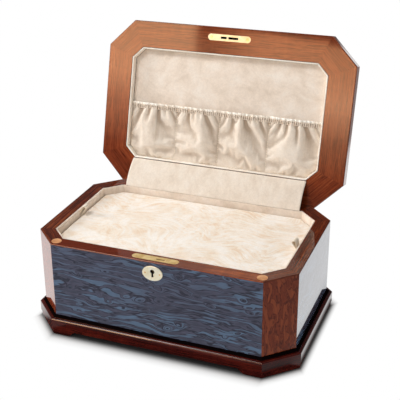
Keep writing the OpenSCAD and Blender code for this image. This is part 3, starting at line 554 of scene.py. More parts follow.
brass_finish("brass", (246, 236, 200), (255, 252, 234), 0.28, 0.44, 0.3)
brass_finish("pale_brass", (222, 206, 158), (240, 230, 194), 0.4, 0.55, 0.2)
brass_finish("plate_brass", (206, 170, 98), (244, 222, 164), 0.28, 0.42, 0.4)
brass_finish("lock_brass", (112, 92, 50), (150, 126, 76), 0.35, 0.5, 0.9)
# The front board, seen only inside the keyhole, gets keyhole_shade_core: painted shade that keeps the keyhole
# dark.
for node, solid in nodes.items():
    solid.data.materials.clear()
    solid.data.materials.append(finishes["keyhole_shade_core" if node == "front_panel" else slots[node]])
print("every CAD piece has a finish; the front board is stained, so the keyhole looks dark")

# %% [markdown]
# ## Small helpers for meshes
# Most pieces here are grids of points: rows that are joined by quads. A shut piece of cloth is two such
# grids, face and underside, joined round their border.


# %% Grids, borders and slabs
def skin(bm, rows, wrap=False):
    """Quads between rows of points; wrap joins the end of each row to its start."""
    for r, q in zip(rows, rows[1:]):
        for i in range(len(r) if wrap else len(r) - 1):
            j = (i + 1) % len(r)
            bm.faces.new((r[i], r[j], q[j], q[i]))


def border(rows):
    """The points round the edge of a grid, in order."""
    return rows[0] + [r[-1] for r in rows[1:]] + rows[-1][-2::-1] + [r[0] for r in rows[-2:0:-1]]


def slab(face, under):
    """A closed thin shell between two grids of points."""
    bm = bmesh.new()
    face, under = ([[bm.verts.new(p) for p in row] for row in grid] for grid in (face, under))
    skin(bm, face)
    skin(bm, under)
    skin(bm, [border(face), border(under)], wrap=True)
    return bm


def to_mesh(bm, name, degrees):
    """Turns a bmesh into a mesh whose edges look sharp where they bend more than degrees."""
    mesh = bpy.data.meshes.new(name)
    bm.to_mesh(mesh)
    bm.free()
    mesh.shade_smooth()
    mesh.set_sharp_from_angle(angle=math.radians(degrees))
    return mesh


def closed_mesh(bm, name, degrees=40):
    bmesh.ops.recalc_face_normals(bm, faces=bm.faces)
    return to_mesh(bm, name, degrees)


def show(mesh, name, finish, body, replaced=()):
    """Puts a finished mesh in the scene as a piece, on its body, and hides the CAD pieces that it replaces."""
    piece = bpy.data.objects.new(name, mesh)
    scene.collection.objects.link(piece)
    if finish:
        mesh.materials.clear()
        mesh.materials.append(finishes[finish])
    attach(piece, body)
    if replaced:
        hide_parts(*replaced)
    return piece


def padded(mesh, name, finish, body, node):
    """A stuffed or wrapped piece."""
    piece = show(mesh, name, finish, body, [node])
    return piece


# %% [markdown]
# ## Dressing the wood
# The CAD solids have the right shapes but knife-sharp arrises, and a real arris catches the light because
# sandpaper and lacquer have rounded it. Each wooden piece is therefore copied, its points are merged, and
# its sharp edges get a small bevel. The copy also stores the grain of each board: along, across and through.
# The cove above the nose of the plinth and the mortise behind the strike plate are painted nearly black, as
# painted shade, and their lacquer coat is left off. Points there are marked as painted_shade.


# %% Eased copies of the wooden pieces
def islands(bm):
    """The separate solids of a mesh, as lists of points. They come in the mesh's own order, never in that of
    a set, which changes from run to run and would turn the screws differently each time."""
    seen, found = set(), []
    for first in bm.verts:
        group, queue = [], [first]
        while queue:
            point = queue.pop()
            if point not in seen:
                seen.add(point)
                group.append(point)
                queue += [edge.other_vert(point) for edge in point.link_edges]
        if group:
            found.append(group)
    return found


def grain_axes(rule, centre):
    """Directions along, across and through the board, for a solid with this centre."""
    sign_x, sign_y = math.copysign(1, centre.x), math.copysign(1, centre.y)
    if rule == "up":
        along, out = Vector((0, 0, 1)), Vector((sign_x, sign_y, 0)).normalized()
        return along, out.cross(along), out
    along = {"x": Vector((1, 0, 0)), "y": Vector((0, 1, 0)),
             "diagonal": Vector((sign_x, -sign_y, 0)).normalized()}[rule]
    return along, Vector((0, 0, 1)).cross(along), Vector((0, 0, 1))


mortise_half = 31 * MM


def write_grain(bm, rule, on_lid, seed, painted_shade_from):
    layer = bm.verts.layers.float_vector.new("grain")
    painted_shade = bm.verts.layers.float.new("painted_shade")
    for group in islands(bm):
        place = {v: (shut_turn @ v.co if on_lid else v.co) - Vector((0, middle_y, 0)) for v in group}
        centre = sum(place.values(), Vector()) / len(group)
        axes = grain_axes(rule, centre)
        shift = Vector((seed + centre.x * 3.7 + centre.y * 1.9, centre.y * 2.3 - centre.x, centre.z * 1.3))
        for v in group:
            v[layer] = Vector([place[v].dot(a) for a in axes]) + shift
            # Painted shade for the mortise behind the strike plate and for everything above painted_shade_from.
            inside = on_lid and abs(v.co.x) < mortise_half and place[v].z > z_lid + 0.3 * MM
            v[painted_shade] = 1.0 if inside or v.co.z > painted_shade_from else 0.0


def merged_copy(node):
    bm = bmesh.new()
    bm.from_mesh(nodes[node].data)
    bmesh.ops.remove_doubles(bm, verts=bm.verts, dist=2e-6)
    bmesh.ops.dissolve_limit(bm, angle_limit=0.01, verts=bm.verts, edges=bm.edges)
    return bm


def dressed(node, finish, radius, rule=None, seed=0.0, painted_shade_from=math.inf):
    """A copy of a CAD piece with its sharp edges rounded, and with its grain where it is wood."""
    bm = merged_copy(node)
    sharp = [e for e in bm.edges if e.is_manifold and e.calc_length() > 4 * radius
             and e.calc_face_angle(0.0) > math.radians(30)]
    if sharp:
        bmesh.ops.bevel(bm, geom=sharp, offset=radius, segments=2, profile=0.5, affect="EDGES",
                        clamp_overlap=True)
    if rule:
        write_grain(bm, rule, node in lid_nodes, seed, painted_shade_from)
    name = node + "_dressed"
    piece = show(to_mesh(bm, name, 35), name, finish, nodes[node]["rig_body"], [node])
    true_flats = piece.modifiers.new("true_flats", "WEIGHTED_NORMAL")
    true_flats.mode, true_flats.weight, true_flats.keep_sharp = "FACE_AREA", 100, True
    return piece


# Above this height, in the cove of the plinth, the wood gets painted shade.
cove_z = 23.75 * MM
for finish, radius, pieces in (
        ("dark_mahogany", 0.25, {"plinth_front": "x", "plinth_back": "x", "plinth_sides": "y",
                                 "plinth_corners": "diagonal"}),
        ("dark_mahogany", 0.6, dict.fromkeys(("foot_front_right", "foot_back_right", "foot_back_left",
                                              "foot_front_left"), "x")),
        ("blue_burl", 0.12, {"front_veneer": "x", "back_veneer": "x", "side_veneers": "y"}),
        ("mahogany_burl", 0.12, {"corner_veneers": "up"}),
        ("light_mahogany", 0.45, {"rim_front": "x"}),
        ("rim_mahogany", 0.45, {"rim_back": "x", "rim_sides": "y", "rim_corners": "diagonal"}),
        ("lid_mahogany", 0.2, {"lid_front_rail": "x", "lid_back_rail": "x", "lid_left_rail": "y",
                               "lid_right_rail": "y", "lid_corners": "diagonal"}),
        ("dark_mahogany", 0.3, {"lid_top_board": "x"}),
        ("blue_burl", 0.1, {"lid_top_veneer": "x"})):
    for node, rule in pieces.items():
        dressed(node, finish, radius * MM, rule, seed=2.0 if node == "lid_top_veneer" else 0.0,
                painted_shade_from=cove_z if node.startswith("plinth") else math.inf)

# %% [markdown]
# ## Metal fittings
# The oval escutcheon, the lock plate and the strike plate keep their CAD shapes, with small bevels all
# round, because a stamped brass edge is never sharp and shows as a bright line. The felt feet, the ledges,
# the cover's board and the bumper discs are eased in the same way.

# %% Eased fittings
fittings = {"lock_plate": 0.12, "strike_plate": 0.2, "escutcheon": 0.35, "hinge_body_leaves": 0.1,
            "hinge_lid_leaves": 0.1, "lock_bolt": 0.15, "foot_pads": 0.35, "cover_ledges": 0.9,
            "cover_board": 0.4, "bumpers": 0.12}
own_brass = {"lock_plate": "plate_brass", "strike_plate": "pale_brass"}
for node, radius in fittings.items():
    piece = dressed(node, own_brass.get(node, slots[node]), radius * MM)
    node in ("foot_pads", "cover_ledges")
print("fittings eased", len(fittings))

# %% [markdown]
# ## Linings
# Each lining is a stiff card wrapped in suede, so its top edge is round and its face swells a little. One
# profile is swept along each side of the outline, and the ends are cut on the mitre with a hair's gap, which
# shows as the fine dark line in the corners.


# %% Swept strips with mitred ends
def strip(bm, side, profile, swell, place=plain, parts=24, gap=0.12 * MM):
    """One strip along a side of the outline. profile is a closed list of (offset, height)."""
    rows = []
    for j in range(parts + 1):
        row = []
        for off, z in profile:
            ring = outline(off)
            a, b = ring[side], ring[(side + 1) % 8]
            run = (b - a).normalized()
            p = (a + run * gap).lerp(b - run * gap, j / parts)
            wave = noise.noise(Vector((p.x * 22, p.y * 22, z * 22 + side))) * swell
            row.append(bm.verts.new(place(Vector((p.x - run.y * wave, p.y + run.x * wave, z)))))
        rows.append(row)
    skin(bm, rows, wrap=True)
    bm.faces.new(rows[0])
    bm.faces.new(rows[-1])


def rounded(off_out, off_in, low, high, r_in, r_out, face_parts=6):
    """A board's section: a flat back, a face towards the room, and a round top."""
    points = [(off_out, low)]
    for i in range(4):
        a = math.radians(90 * i / 3)
        points.append((off_out - r_out * (1 - math.cos(a)), high - r_out * (1 - math.sin(a))))
    for i in range(5):
        a = math.radians(90 * i / 4)
        points.append((off_in + r_in * (1 - math.sin(a)), high - r_in * (1 - math.cos(a))))
    for i in range(1, face_parts + 1):
        points.append((off_in, high - r_in + (low - high + r_in) * i / face_parts))
    return points


wall_face, lining_face = -18.55 * MM, -21 * MM
recess_wall, strip_face, strip_high = -32.1 * MM, -34 * MM, 9.7 * MM
for name, sides, node in (("front_lining", [0], "lining_front"), ("back_lining", [4], "lining_back"),
                          ("side_linings", [2, 6], "lining_sides"),
                          ("corner_linings", [1, 3, 5, 7], "lining_corners")):
    bm = bmesh.new()
    low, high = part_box(node)[0].z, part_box(node)[1].z
    for side in sides:
        strip(bm, side, rounded(wall_face, lining_face, low, high, 1.1 * MM, 0.5 * MM), 0.15 * MM)
    padded(closed_mesh(bm, name), name, "suede", "body", node)

bm = bmesh.new()
for side in range(8):
    section = [(off, 2 * z_lid + recess_deep - z) for off, z in
               rounded(recess_wall, strip_face, z_lid, z_lid + strip_high, 0.9 * MM, 0.3 * MM)]
    strip(bm, side, section, 0.12 * MM, in_open_lid)
# The strips take the paler painted_light_suede: a painted highlight.
lid_strips = padded(closed_mesh(bm, "lid_strips"), "lid_strips", "painted_light_suede", "lid", "lid_lining_edge")
print("lining strips", len(lid_strips.data.polygons), "faces round the recess")

# %% [markdown]
# ## Pads
# The lift-out cover, the panel in the lid and the pad on the floor are cloth over thin foam. A pad is a
# closed form: flat underneath, with an edge that turns over in a small round and a top that rises towards
# the middle and is never quite even.


# %% Octagonal pads
def pad(name, off, base, thick, crown, turn_r, wobble, cells, place=plain, sign=1):
    """A pad on the outline at off, from base upwards; sign -1 makes it face down."""
    a, b, leg = plan(off)
    rim = [turn_r * f for f in (0, 0.08, 0.3, 0.62, 1.0, 1.8)]
    xs = sorted({round(v, 7) for v in [*[-a + d for d in rim], *[a - d for d in rim], -(a - leg), a - leg,
                                       *np.linspace(-a + rim[-1], a - rim[-1], cells[0])]})
    rows = []
    for x in xs:
        hi = b - max(0.0, abs(x) - (a - leg))
        ys = [*[-hi + d for d in rim], *np.linspace(-hi + rim[-1], hi - rim[-1], cells[1])[1:-1],
              *[hi - d for d in reversed(rim)]]
        row = []
        for y in ys:
            inside = max(0.0, min(a - abs(x), b - abs(y), (a + b - leg - abs(x) - abs(y)) / math.sqrt(2)))
            drop = turn_r - math.sqrt(max(0.0, turn_r ** 2 - max(0.0, turn_r - inside) ** 2))
            rise = crown * (1 - math.exp(-inside / (18 * MM)))
            uneven = wobble * min(1.0, inside / (6 * MM)) * noise.fractal(
                Vector((x * 24, y * 24, base * 10 + off * 90)), 1.0, 2.0, 3)
            row.append(Vector((x, y + middle_y, base + sign * (thick - drop + rise + uneven))))
        rows.append(row)
    bm = bmesh.new()
    grid = [[bm.verts.new(place(v)) for v in row] for row in rows]
    low = [bm.verts.new(place(Vector((v.x, v.y, base)))) for v in border(rows)]
    skin(bm, grid)
    skin(bm, [border(grid), low], wrap=True)
    bm.faces.new(low)
    return closed_mesh(bm, name, 50)


floor_low, floor_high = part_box("lining_floor")[0].z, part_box("lining_floor")[1].z
cover_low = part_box("cover_pad")[0].z
# Each shape is offset, base, thickness, crown, round of the edge, unevenness and cells.
for name, node, finish, body, fill, shape in (
        ("floor_pad", "lining_floor", "plush", "body", 0.7,
         (-21.15 * MM, floor_low, floor_high - floor_low - 0.3 * MM, 0.4 * MM, 1.2 * MM, 0.15 * MM, (60, 36))),
        ("cover_cushion", "cover_pad", "plush", "cover", 0.6,
         (-22.3 * MM, cover_low, 3.9 * MM, 1.4 * MM, 2.2 * MM, 0.5 * MM, (150, 90))),
        ("lid_panel_pad", "lid_lining_panel", "suede", "lid", 0.9,
         (-34.1 * MM, z_lid + 16 * MM, 6 * MM, 0.5 * MM, 1.0 * MM, 0.35 * MM, (150, 90), in_open_lid, -1))):
    piece = padded(pad(name, *shape), name, finish, body, node)
    print(name, len(piece.data.polygons), "faces")

# %% [markdown]
# ## The gathered pocket
# The pocket was cut wider than the lid and gathered on an elastic, so it hangs in folds that start tight at
# the mouth and open out below. Folds like these are hard to draw and easy to simulate. The cloth starts
# nearly flat, in its full cut, and its edges and seams are drawn together to where they are sewn, as a
# seamstress does. The spare width has to go somewhere, and the solver finds the folds. The three seams part
# the pocket into four panels, and each panel is gathered by itself.

# %% Place of the pocket in the lid
recess_z = z_lid + recess_deep
mouth_y, foot_y = 2 * MM, 77.3 * MM
end_x, corner_y = 140.6 * MM, 63.2 * MM
seams = (-70 * MM, -5 * MM, 67 * MM)


def in_pocket(x, y, w):
    """A point of the lid recess: x across, y from the middle of the box to the hinge, w out of the panel."""
    return open_turn @ Vector((x, y + middle_y, recess_z - w))


def sewn_at(y):
    """Where the ends and the seams of the pocket lie at this height."""
    end = end_x - max(0.0, y - corner_y)
    return [-end, *seams, end]


def bow(s, t):
    """How far a panel stands off the lid: s across it, t from the mouth down."""
    rise = 4.9 + 1.3 * math.sin(math.radians(min(180, 200 * t)))
    fall = 1 if t < 0.55 else math.cos(math.pi / 2 * (t - 0.55) / 0.45)
    return MM * (0.9 + rise * fall * math.sqrt(max(0.0, math.sin(math.pi * s))))


print("pocket", round(2 * end_x * 1000), "by", round((foot_y - mouth_y) * 1000), "mm, ends and seams at",
      [round(x * 1000) for x in sewn_at(mouth_y)])

# %% [markdown]
# The cut has 16 percent of spare width at the mouth, which runs out quickly downwards, so the folds are short
# and lie under the mouth. The two middle panels are also drawn a little to the right, so their cloth
# gathers left of the second and of the third seam, where the photo shows hollows.

# %% Cut of the four panels
pocket_rows, panel_columns = 44, (40, 37, 41, 42)
spare_mouth, spare_foot, spare_long, spare_fade = 0.14, 0.02, 0.028, 3.2
pulled = (0.0, 2 * MM, 2.5 * MM, 0.0)
cut, worn, held, cells, starts = [], [], [], [], []
for p, count in enumerate(panel_columns):
    starts.append(len(cut))
    middle = sum(sewn_at(mouth_y)[p:p + 2]) / 2
    for j in range(pocket_rows + 1):
        t = j / pocket_rows
        y = mouth_y + (foot_y - mouth_y) * t
        low, high = sewn_at(y)[p:p + 2]
        for i in range(count + 1):
            s = i / count
            x = low + (high - low) * s
            fixed = j in (0, pocket_rows) or i in (0, count)
            seed = noise.noise(Vector((x * 105, y * 7, 3.7 + 5 * p))) * 1.5 + noise.noise(
                Vector((x * 210, y * 14, 9.1))) * 0.7
            calm = 0 if fixed else math.sin(math.pi * s) ** 0.5 * min(1, t * 6) * min(1, (1 - t) * 2)
            wide = 1 + spare_mouth * (1 - t) ** spare_fade + spare_foot
            cut.append((middle + (x - middle) * wide + pulled[p] * (1 - t),
                        mouth_y + (y - mouth_y) * (1 + spare_long), 0.6 * bow(s, t) + seed * calm * MM))
            worn.append((x, y, bow(s, t)))
            held.append(fixed)
    n = count + 1
    cells += [(starts[p] + j * n + i, starts[p] + j * n + i + 1, starts[p] + (j + 1) * n + i + 1,
               starts[p] + (j + 1) * n + i) for j in range(pocket_rows) for i in range(count)]


def cell_area(points):
    a, b, c, d = (np.array(points)[[f[i] for f in cells]] for i in range(4))
    return float((np.linalg.norm(np.cross(b - a, c - a), axis=1).sum()
                  + np.linalg.norm(np.cross(c - a, d - a), axis=1).sum()) / 2)


# %% Gather it
def gather(cut, worn, cells, held, frames=26, closed=12, size=10.0):
    """Blender's cloth, from the flat cut, while the held points move to where they are worn."""
    mesh = bpy.data.meshes.new("cloth_work")
    mesh.from_pydata([Vector(p) * size for p in cut], [], cells)
    work = bpy.data.objects.new("cloth_work", mesh)
    scene.collection.objects.link(work)
    work.vertex_groups.new(name="held").add([i for i, h in enumerate(held) if h], 1.0, "REPLACE")
    work.shape_key_add(name="Basis")
    key = work.shape_key_add(name="worn")
    key.data.foreach_set("co", (np.array(worn, np.float32) * size).ravel())
    for frame_number, value in ((1, 0.0), (closed, 1.0)):
        key.value = value
        key.keyframe_insert("value", frame=frame_number)
    cloth = work.modifiers.new("cloth", "CLOTH")
    s = cloth.settings
    s.quality, s.mass, s.air_damping, s.pin_stiffness = 5, 0.2, 1.0, 5
    s.tension_stiffness = s.compression_stiffness = 15
    s.shear_stiffness, s.bending_stiffness = 4.5, 5.0
    s.tension_damping = s.compression_damping = s.shear_damping = s.bending_damping = 1.0
    s.vertex_group_mass = "held"
    s.effector_weights.gravity = 0
    s.use_pressure, s.uniform_pressure_force = True, 0.2
    cloth.collision_settings.use_collision = False
    cloth.point_cache.frame_start, cloth.point_cache.frame_end = 1, frames
    for f in range(1, frames + 1):
        scene.frame_set(f)
    done = work.evaluated_get(bpy.context.evaluated_depsgraph_get())
    co = np.empty(len(cut) * 3, np.float32)
    done.data.vertices.foreach_get("co", co)
    scene.frame_set(1)
    action = mesh.shape_keys.animation_data.action
    bpy.data.objects.remove(work)
    bpy.data.meshes.remove(mesh)
    bpy.data.actions.remove(action)
    return co.reshape(-1, 3).astype(float) / size


def above(value, low, soft):
    """Keeps a value above low, with a soft start."""
    return low + soft * np.logaddexp(0, (value - low) / soft)


lowest_w, highest_w = 1.2 * MM, 9.3 * MM
settled = gather(cut, worn, cells, held)
settled[:, 2] = above(settled[:, 2], lowest_w, 0.4 * MM)
settled[:, 2] = -above(-settled[:, 2], -highest_w, 0.5 * MM)
print("gathered pocket", round(cell_area(settled) * 1e4, 1), "square cm, stands",
      [round(v * 1000, 1) for v in (settled[:, 2].min(), settled[:, 2].max())], "mm off the panel")

# %% [markdown]
# The four panels are joined along their seams, and a finer grid is drawn through them with a smooth curve, so
# that the folds have no facets. The sheet then gets its thickness. Its folds get painted shade where the
# cloth lies deeper than the cloth around it, and beside the seams.


# %% Finer grid, thickness and painted shade in the folds
def between(grid):
    """Twice as many rows, with the new ones on a smooth curve through the old."""
    before, after = np.vstack([grid[:1], grid[:-2]]), np.vstack([grid[2:], grid[-1:]])
    out = np.empty((2 * len(grid) - 1, *grid.shape[1:]))
    out[::2], out[1::2] = grid, (9 * (grid[:-1] + grid[1:]) - before - after) / 16
    return out


panels = []
for start, count in zip(starts, panel_columns):
    part = settled[start:start + (pocket_rows + 1) * (count + 1)].reshape(pocket_rows + 1, count + 1, 3)
    part = between(between(part).transpose(1, 0, 2)).transpose(1, 0, 2)
    panels.append(part if not panels else part[:, 1:])
fuller = np.concatenate(panels, axis=1)
cloth_thick = 0.35 * MM


def pocket_cloth(rows, name):
    """A sheet of the pocket's cloth on a grid of (x, y, w) points."""
    mesh = closed_mesh(slab([[in_pocket(*p) for p in row] for row in rows],
                            [[in_pocket(p[0], p[1], p[2] - cloth_thick) for p in row] for row in rows]), name, 80)
    replaced = ["pocket_cloth"] if name == "gathered_pocket" else ()
    return show(mesh, name, "pocket_suede", "lid", replaced)


def blurred(grid, reach):
    """The mean of each point's neighbours, along both ways of the grid."""
    for _ in range(2):
        wide = np.pad(grid, ((reach, reach), (0, 0)), mode="edge")
        grid = np.array([wide[k:k + 2 * reach + 1].mean(axis=0) for k in range(len(grid))]).T
    return grid


def write_painted_shade(piece, values):
    """Stores the painted shade of each point of the face, more where it lies deep in a fold; the back gets none.
    """
    layer = piece.data.attributes.new("painted_crease_shade", "FLOAT", "POINT")
    depth = np.zeros(len(piece.data.vertices), np.float32)
    depth[:values.size] = values.ravel()
    layer.data.foreach_set("value", depth)


pocket = pocket_cloth(fuller, "gathered_pocket")
stand_off = fuller[:, :, 2]
# Painted shade where the cloth lies deeper than the cloth around it, and left of each seam.
fold_shade = np.clip((blurred(stand_off, 9) - stand_off) / (1.8 * MM), 0, 0.7)
down = np.linspace(0, 1, len(fuller))[:, None]
for seam, seam_shade in zip(seams, (0.3, 0.75, 0.7)):
    left_by = seam - fuller[:, :, 0]
    beside_seam = np.clip(1 - left_by / (9 * MM), 0, 1) * (left_by > 0.4 * MM)
    fold_shade = np.maximum(fold_shade, seam_shade * beside_seam ** 1.6 * np.sin(np.pi * down ** 0.8))
write_painted_shade(pocket, fold_shade)
print("pocket cloth", len(pocket.data.polygons), "faces")

# %% [markdown]
# Along the mouth the cloth is turned over and sewn down, which makes a casing for the elastic. The elastic
# draws it into ruches about 3 mm apart, deepest at the stitching just under the round edge. That edge is
# bright from a painted highlight, a paler copy of the suede, and the valleys of the ruches get painted shade.

# %% Ruched heading and the elastic in its casing
ruche_pitch = 2.9 * MM
heading_columns, casing_columns, casing_sides = 1150, 560, 10
casing_y, casing_half_y, casing_half_w = mouth_y - 1.75 * MM, 1.7 * MM, 0.85 * MM


def mouth_w(x):
    return float(np.interp(x, fuller[2, :, 0], fuller[2, :, 2]))


def ruche(x):
    return math.sin(2 * math.pi * (x / ruche_pitch + 0.35 * math.sin(x * 61)))


heading_rows = []
for down_mm, depth, lift_mm in ((-0.6, 0.2, 0.55), (0.5, 0.7, 0.8), (1.6, 0.95, 0.85), (2.8, 0.95, 0.8),
                                (4.0, 0.6, 0.6), (5.4, 0.15, 0.42)):
    row = []
    for i in range(heading_columns + 1):
        x = -end_x + 2 * end_x * i / heading_columns
        ends = min(1.0, (end_x - abs(x)) / (1.5 * MM))
        row.append((x, mouth_y + down_mm * MM, mouth_w(x) + (lift_mm + depth * ruche(x) * ends) * MM))
    heading_rows.append(row)
heading = pocket_cloth(heading_rows, "pocket_heading")
# Painted shade in the valleys of the ruches.
write_painted_shade(heading, np.array([[max(0.0, -ruche(p[0])) * (0.95 if 0 < j < 5 else 0.0) for p in row]
                                for j, row in enumerate(heading_rows)]))
bm = bmesh.new()
rings = []
for i in range(casing_columns + 1):
    x = -end_x + 2 * end_x * i / casing_columns
    swell, w = 1 + 0.09 * ruche(x), mouth_w(x) + 0.55 * MM
    turns = [2 * math.pi * k / casing_sides for k in range(casing_sides)]
    rings.append([bm.verts.new(in_pocket(x, casing_y + casing_half_y * math.cos(a),
                                         w + casing_half_w * swell * math.sin(a))) for a in turns])
skin(bm, rings, wrap=True)
bm.faces.new(rings[0])
bm.faces.new(rings[-1])
# The casing takes the paler painted_light_suede: a painted highlight on its round edge.
elastic = show(closed_mesh(bm, "pocket_elastic_band", 80), "pocket_elastic_band", "painted_light_suede", "lid",
               ["pocket_elastic"])
print("heading", len(heading.data.polygons), "and elastic casing", len(elastic.data.polygons), "faces")

# %% [markdown]
# ## Stitches
# The seams of the pocket are sewn with thread. A stitch is the same small form hundreds of times over, which
# is work for Geometry Nodes: a line becomes a curve, the curve is cut into equal steps, and each step gets
# one stitch turned along it. The result is made a plain mesh.


# %% Trees with named inputs
def new_tree(name, inputs):
    """A Geometry Nodes tree and the flows of its inputs, which are given as a kind and a value."""
    tree = bpy.data.node_groups.new(name, "GeometryNodeTree")
    tree.interface.new_socket("Geometry", in_out="OUTPUT", socket_type="NodeSocketGeometry")
    for label, (kind, value) in {"Geometry": ("Geometry", None), **inputs, "Material": ("Material", None)}.items():
        socket = tree.interface.new_socket(label, in_out="INPUT", socket_type="NodeSocket" + kind)
        if value is not None:
            socket.default_value = value
    return tree, {s.name: Flow(s) for s in add(tree, "NodeGroupInput").outputs if s.name}


def end_tree(made, material):
    """Ends a tree: the copies become real mesh and take their material, or the export would drop them."""
    real = flow(made.tree, "GeometryNodeRealizeInstances", {"Geometry": made})
    coloured = flow(made.tree, "GeometryNodeSetMaterial", {"Geometry": real, "Material": material})
    add(made.tree, "NodeGroupOutput", {0: coloured})


def run_tree(tree, mesh, name, values, body):
    """Runs a tree on a mesh and keeps the result as a plain piece."""
    work = bpy.data.objects.new(name + "_work", mesh)
    scene.collection.objects.link(work)
    modifier = work.modifiers.new("tree", "NODES")
    modifier.node_group = tree
    sockets = {item.name: item.identifier for item in tree.interface.items_tree if item.in_out == "INPUT"}
    for label, value in values.items():
        modifier[sockets[label]] = value
    made = bpy.data.meshes.new_from_object(work.evaluated_get(bpy.context.evaluated_depsgraph_get()))
    bpy.data.objects.remove(work)
    made.name = name
    return show(made, name, None, body)


# %% A tree that sews along a line
sew, given = new_tree("sew_along_line", {"Pitch": ("Float", 3 * MM), "Stitch length": ("Float", 2.1 * MM),
                                         "Thread": ("Float", 0.35 * MM)})
line = flow(sew, "GeometryNodeMeshToCurve", {"Mesh": given["Geometry"]})
steps = flow(sew, "GeometryNodeResampleCurve", {"Curve": line, "Length": given["Pitch"]}, mode="LENGTH")
points = add(sew, "GeometryNodeCurveToPoints", {"Curve": steps}, mode="EVALUATED").outputs
ball = flow(sew, "GeometryNodeMeshUVSphere", {"Segments": 6, "Rings": 4, "Radius": 1.0})
size = flow(sew, "ShaderNodeCombineXYZ", {0: given["Stitch length"] * 0.5, 1: given["Thread"],
                                          2: given["Thread"]})
shaped = flow(sew, "GeometryNodeTransform", {"Geometry": ball, "Scale": size})
smooth = flow(sew, "GeometryNodeSetShadeSmooth", {0: shaped})
turn = flow(sew, "FunctionNodeAlignRotationToVector", {"Vector": Flow(points["Tangent"])}, axis="X")
end_tree(flow(sew, "GeometryNodeInstanceOnPoints", {"Points": Flow(points["Points"]), "Instance": smooth,
                                                    "Rotation": turn}), given["Material"])

sewn_points, joins, column = [], [], 0
for count in panel_columns[:-1]:
    column += 2 * count
    first = len(sewn_points)
    sewn_points += [in_pocket(p[0], p[1], p[2] + 0.15 * MM) for p in fuller[6:, column]]
    joins += [(i, i + 1) for i in range(first, len(sewn_points) - 1)]
seam_mesh = bpy.data.meshes.new("seam_lines")
seam_mesh.from_pydata(sewn_points, joins, [])
pocket_stitches = run_tree(sew, seam_mesh, "pocket_stitches", {
    "Pitch": 3.2 * MM, "Stitch length": 2.9 * MM, "Thread": 0.38 * MM, "Material": finishes["ribbon"]},
    "lid")
print("stitches of the pocket", len(pocket_stitches.data.polygons), "faces")

# %% [markdown]
# ## Screws
# All screws are countersunk with one slot, and they differ only in size. One head is drawn, and a second tree
# puts a copy of it at every place, turned as it was driven in and scaled to its size.


# %% A tree that drives screws
def screw_head(parts=6):
    """A slotted head of radius 1 with a short shank, pointing down -Z."""
    bm = bmesh.new()
    half, deep = 0.16, 0.3
    a0 = math.asin(half)
    angles = [a0 + (math.pi - 2 * a0) * i / parts for i in range(parts + 1)]
    angles += [a + math.pi for a in angles]
    top, shoulder, _, tip = rings = [
        [bm.verts.new((r * math.cos(a), r * math.sin(a), z)) for a in angles]
        for r, z in ((0.94, 0.0), (1.0, -deep), (0.45, -0.9), (0.4, -2.2))]
    n, m = len(angles), parts + 1
    skin(bm, [top[:m], shoulder[:m]])
    skin(bm, [top[m:], shoulder[m:]])
    skin(bm, rings[1:], wrap=True)
    for face in (top[:m], top[m:], tip, (shoulder[0], shoulder[parts], shoulder[m], shoulder[n - 1]),
                 (top[0], top[parts], shoulder[parts], shoulder[0]),
                 (top[m], top[n - 1], shoulder[n - 1], shoulder[m])):
        bm.faces.new(face)
    bmesh.ops.recalc_face_normals(bm, faces=bm.faces)
    mesh = bpy.data.meshes.new("screw_head")
    bm.to_mesh(mesh)
    bm.free()
    return mesh


drive, given = new_tree("drive_screws", {"Head": ("Object", None), "Head size": ("Float", 1.0),
                                         "Slot seed": ("Int", 3)})
head_form = flow(drive, "GeometryNodeObjectInfo", {"Object": given["Head"]}, "Geometry")
aim, size = (flow(drive, "GeometryNodeInputNamedAttribute", {"Name": name}, data_type=kind)
             for name, kind in (("aim", "FLOAT_VECTOR"), ("size", "FLOAT")))
points = flow(drive, "GeometryNodeMeshToPoints", {"Mesh": given["Geometry"]})
upright = flow(drive, "FunctionNodeAlignRotationToVector", {"Vector": aim}, axis="Z")
spin = flow(drive, "FunctionNodeRandomValue", {"Seed": given["Slot seed"], 2: -0.9, 3: 0.9}, 1, data_type="FLOAT")
own_turn = flow(drive, "ShaderNodeCombineXYZ", {2: spin})
turn = flow(drive, "FunctionNodeRotateRotation", {0: upright, 1: own_turn}, rotation_space="LOCAL")
end_tree(flow(drive, "GeometryNodeInstanceOnPoints", {"Points": points, "Instance": head_form, "Rotation": turn,
                                                      "Scale": size * given["Head size"]}), given["Material"])


def screw_points(sets, name):
    """Points with a direction and a size, one for each screw of the CAD nodes in sets, found on their solids."""
    places, aims, sizes = [], [], []
    for node, radius, aim in sets:
        bm = merged_copy(node)
        for group in islands(bm):
            reach = max(v.co.dot(aim) for v in group)
            top = [v.co for v in group if v.co.dot(aim) > reach - 0.02 * MM]
            places.append(sum(top, Vector()) / len(top) - aim * 0.03 * MM)
            aims.append(aim)
            sizes.append(radius * MM)
        bm.free()
    mesh = bpy.data.meshes.new(name)
    mesh.from_pydata(places, [], [])
    for label, kind, field, values in (("aim", "FLOAT_VECTOR", "vector", aims), ("size", "FLOAT", "value", sizes)):
        mesh.attributes.new(label, kind, "POINT").data.foreach_set(field, np.array(values, np.float32).ravel())
    return mesh


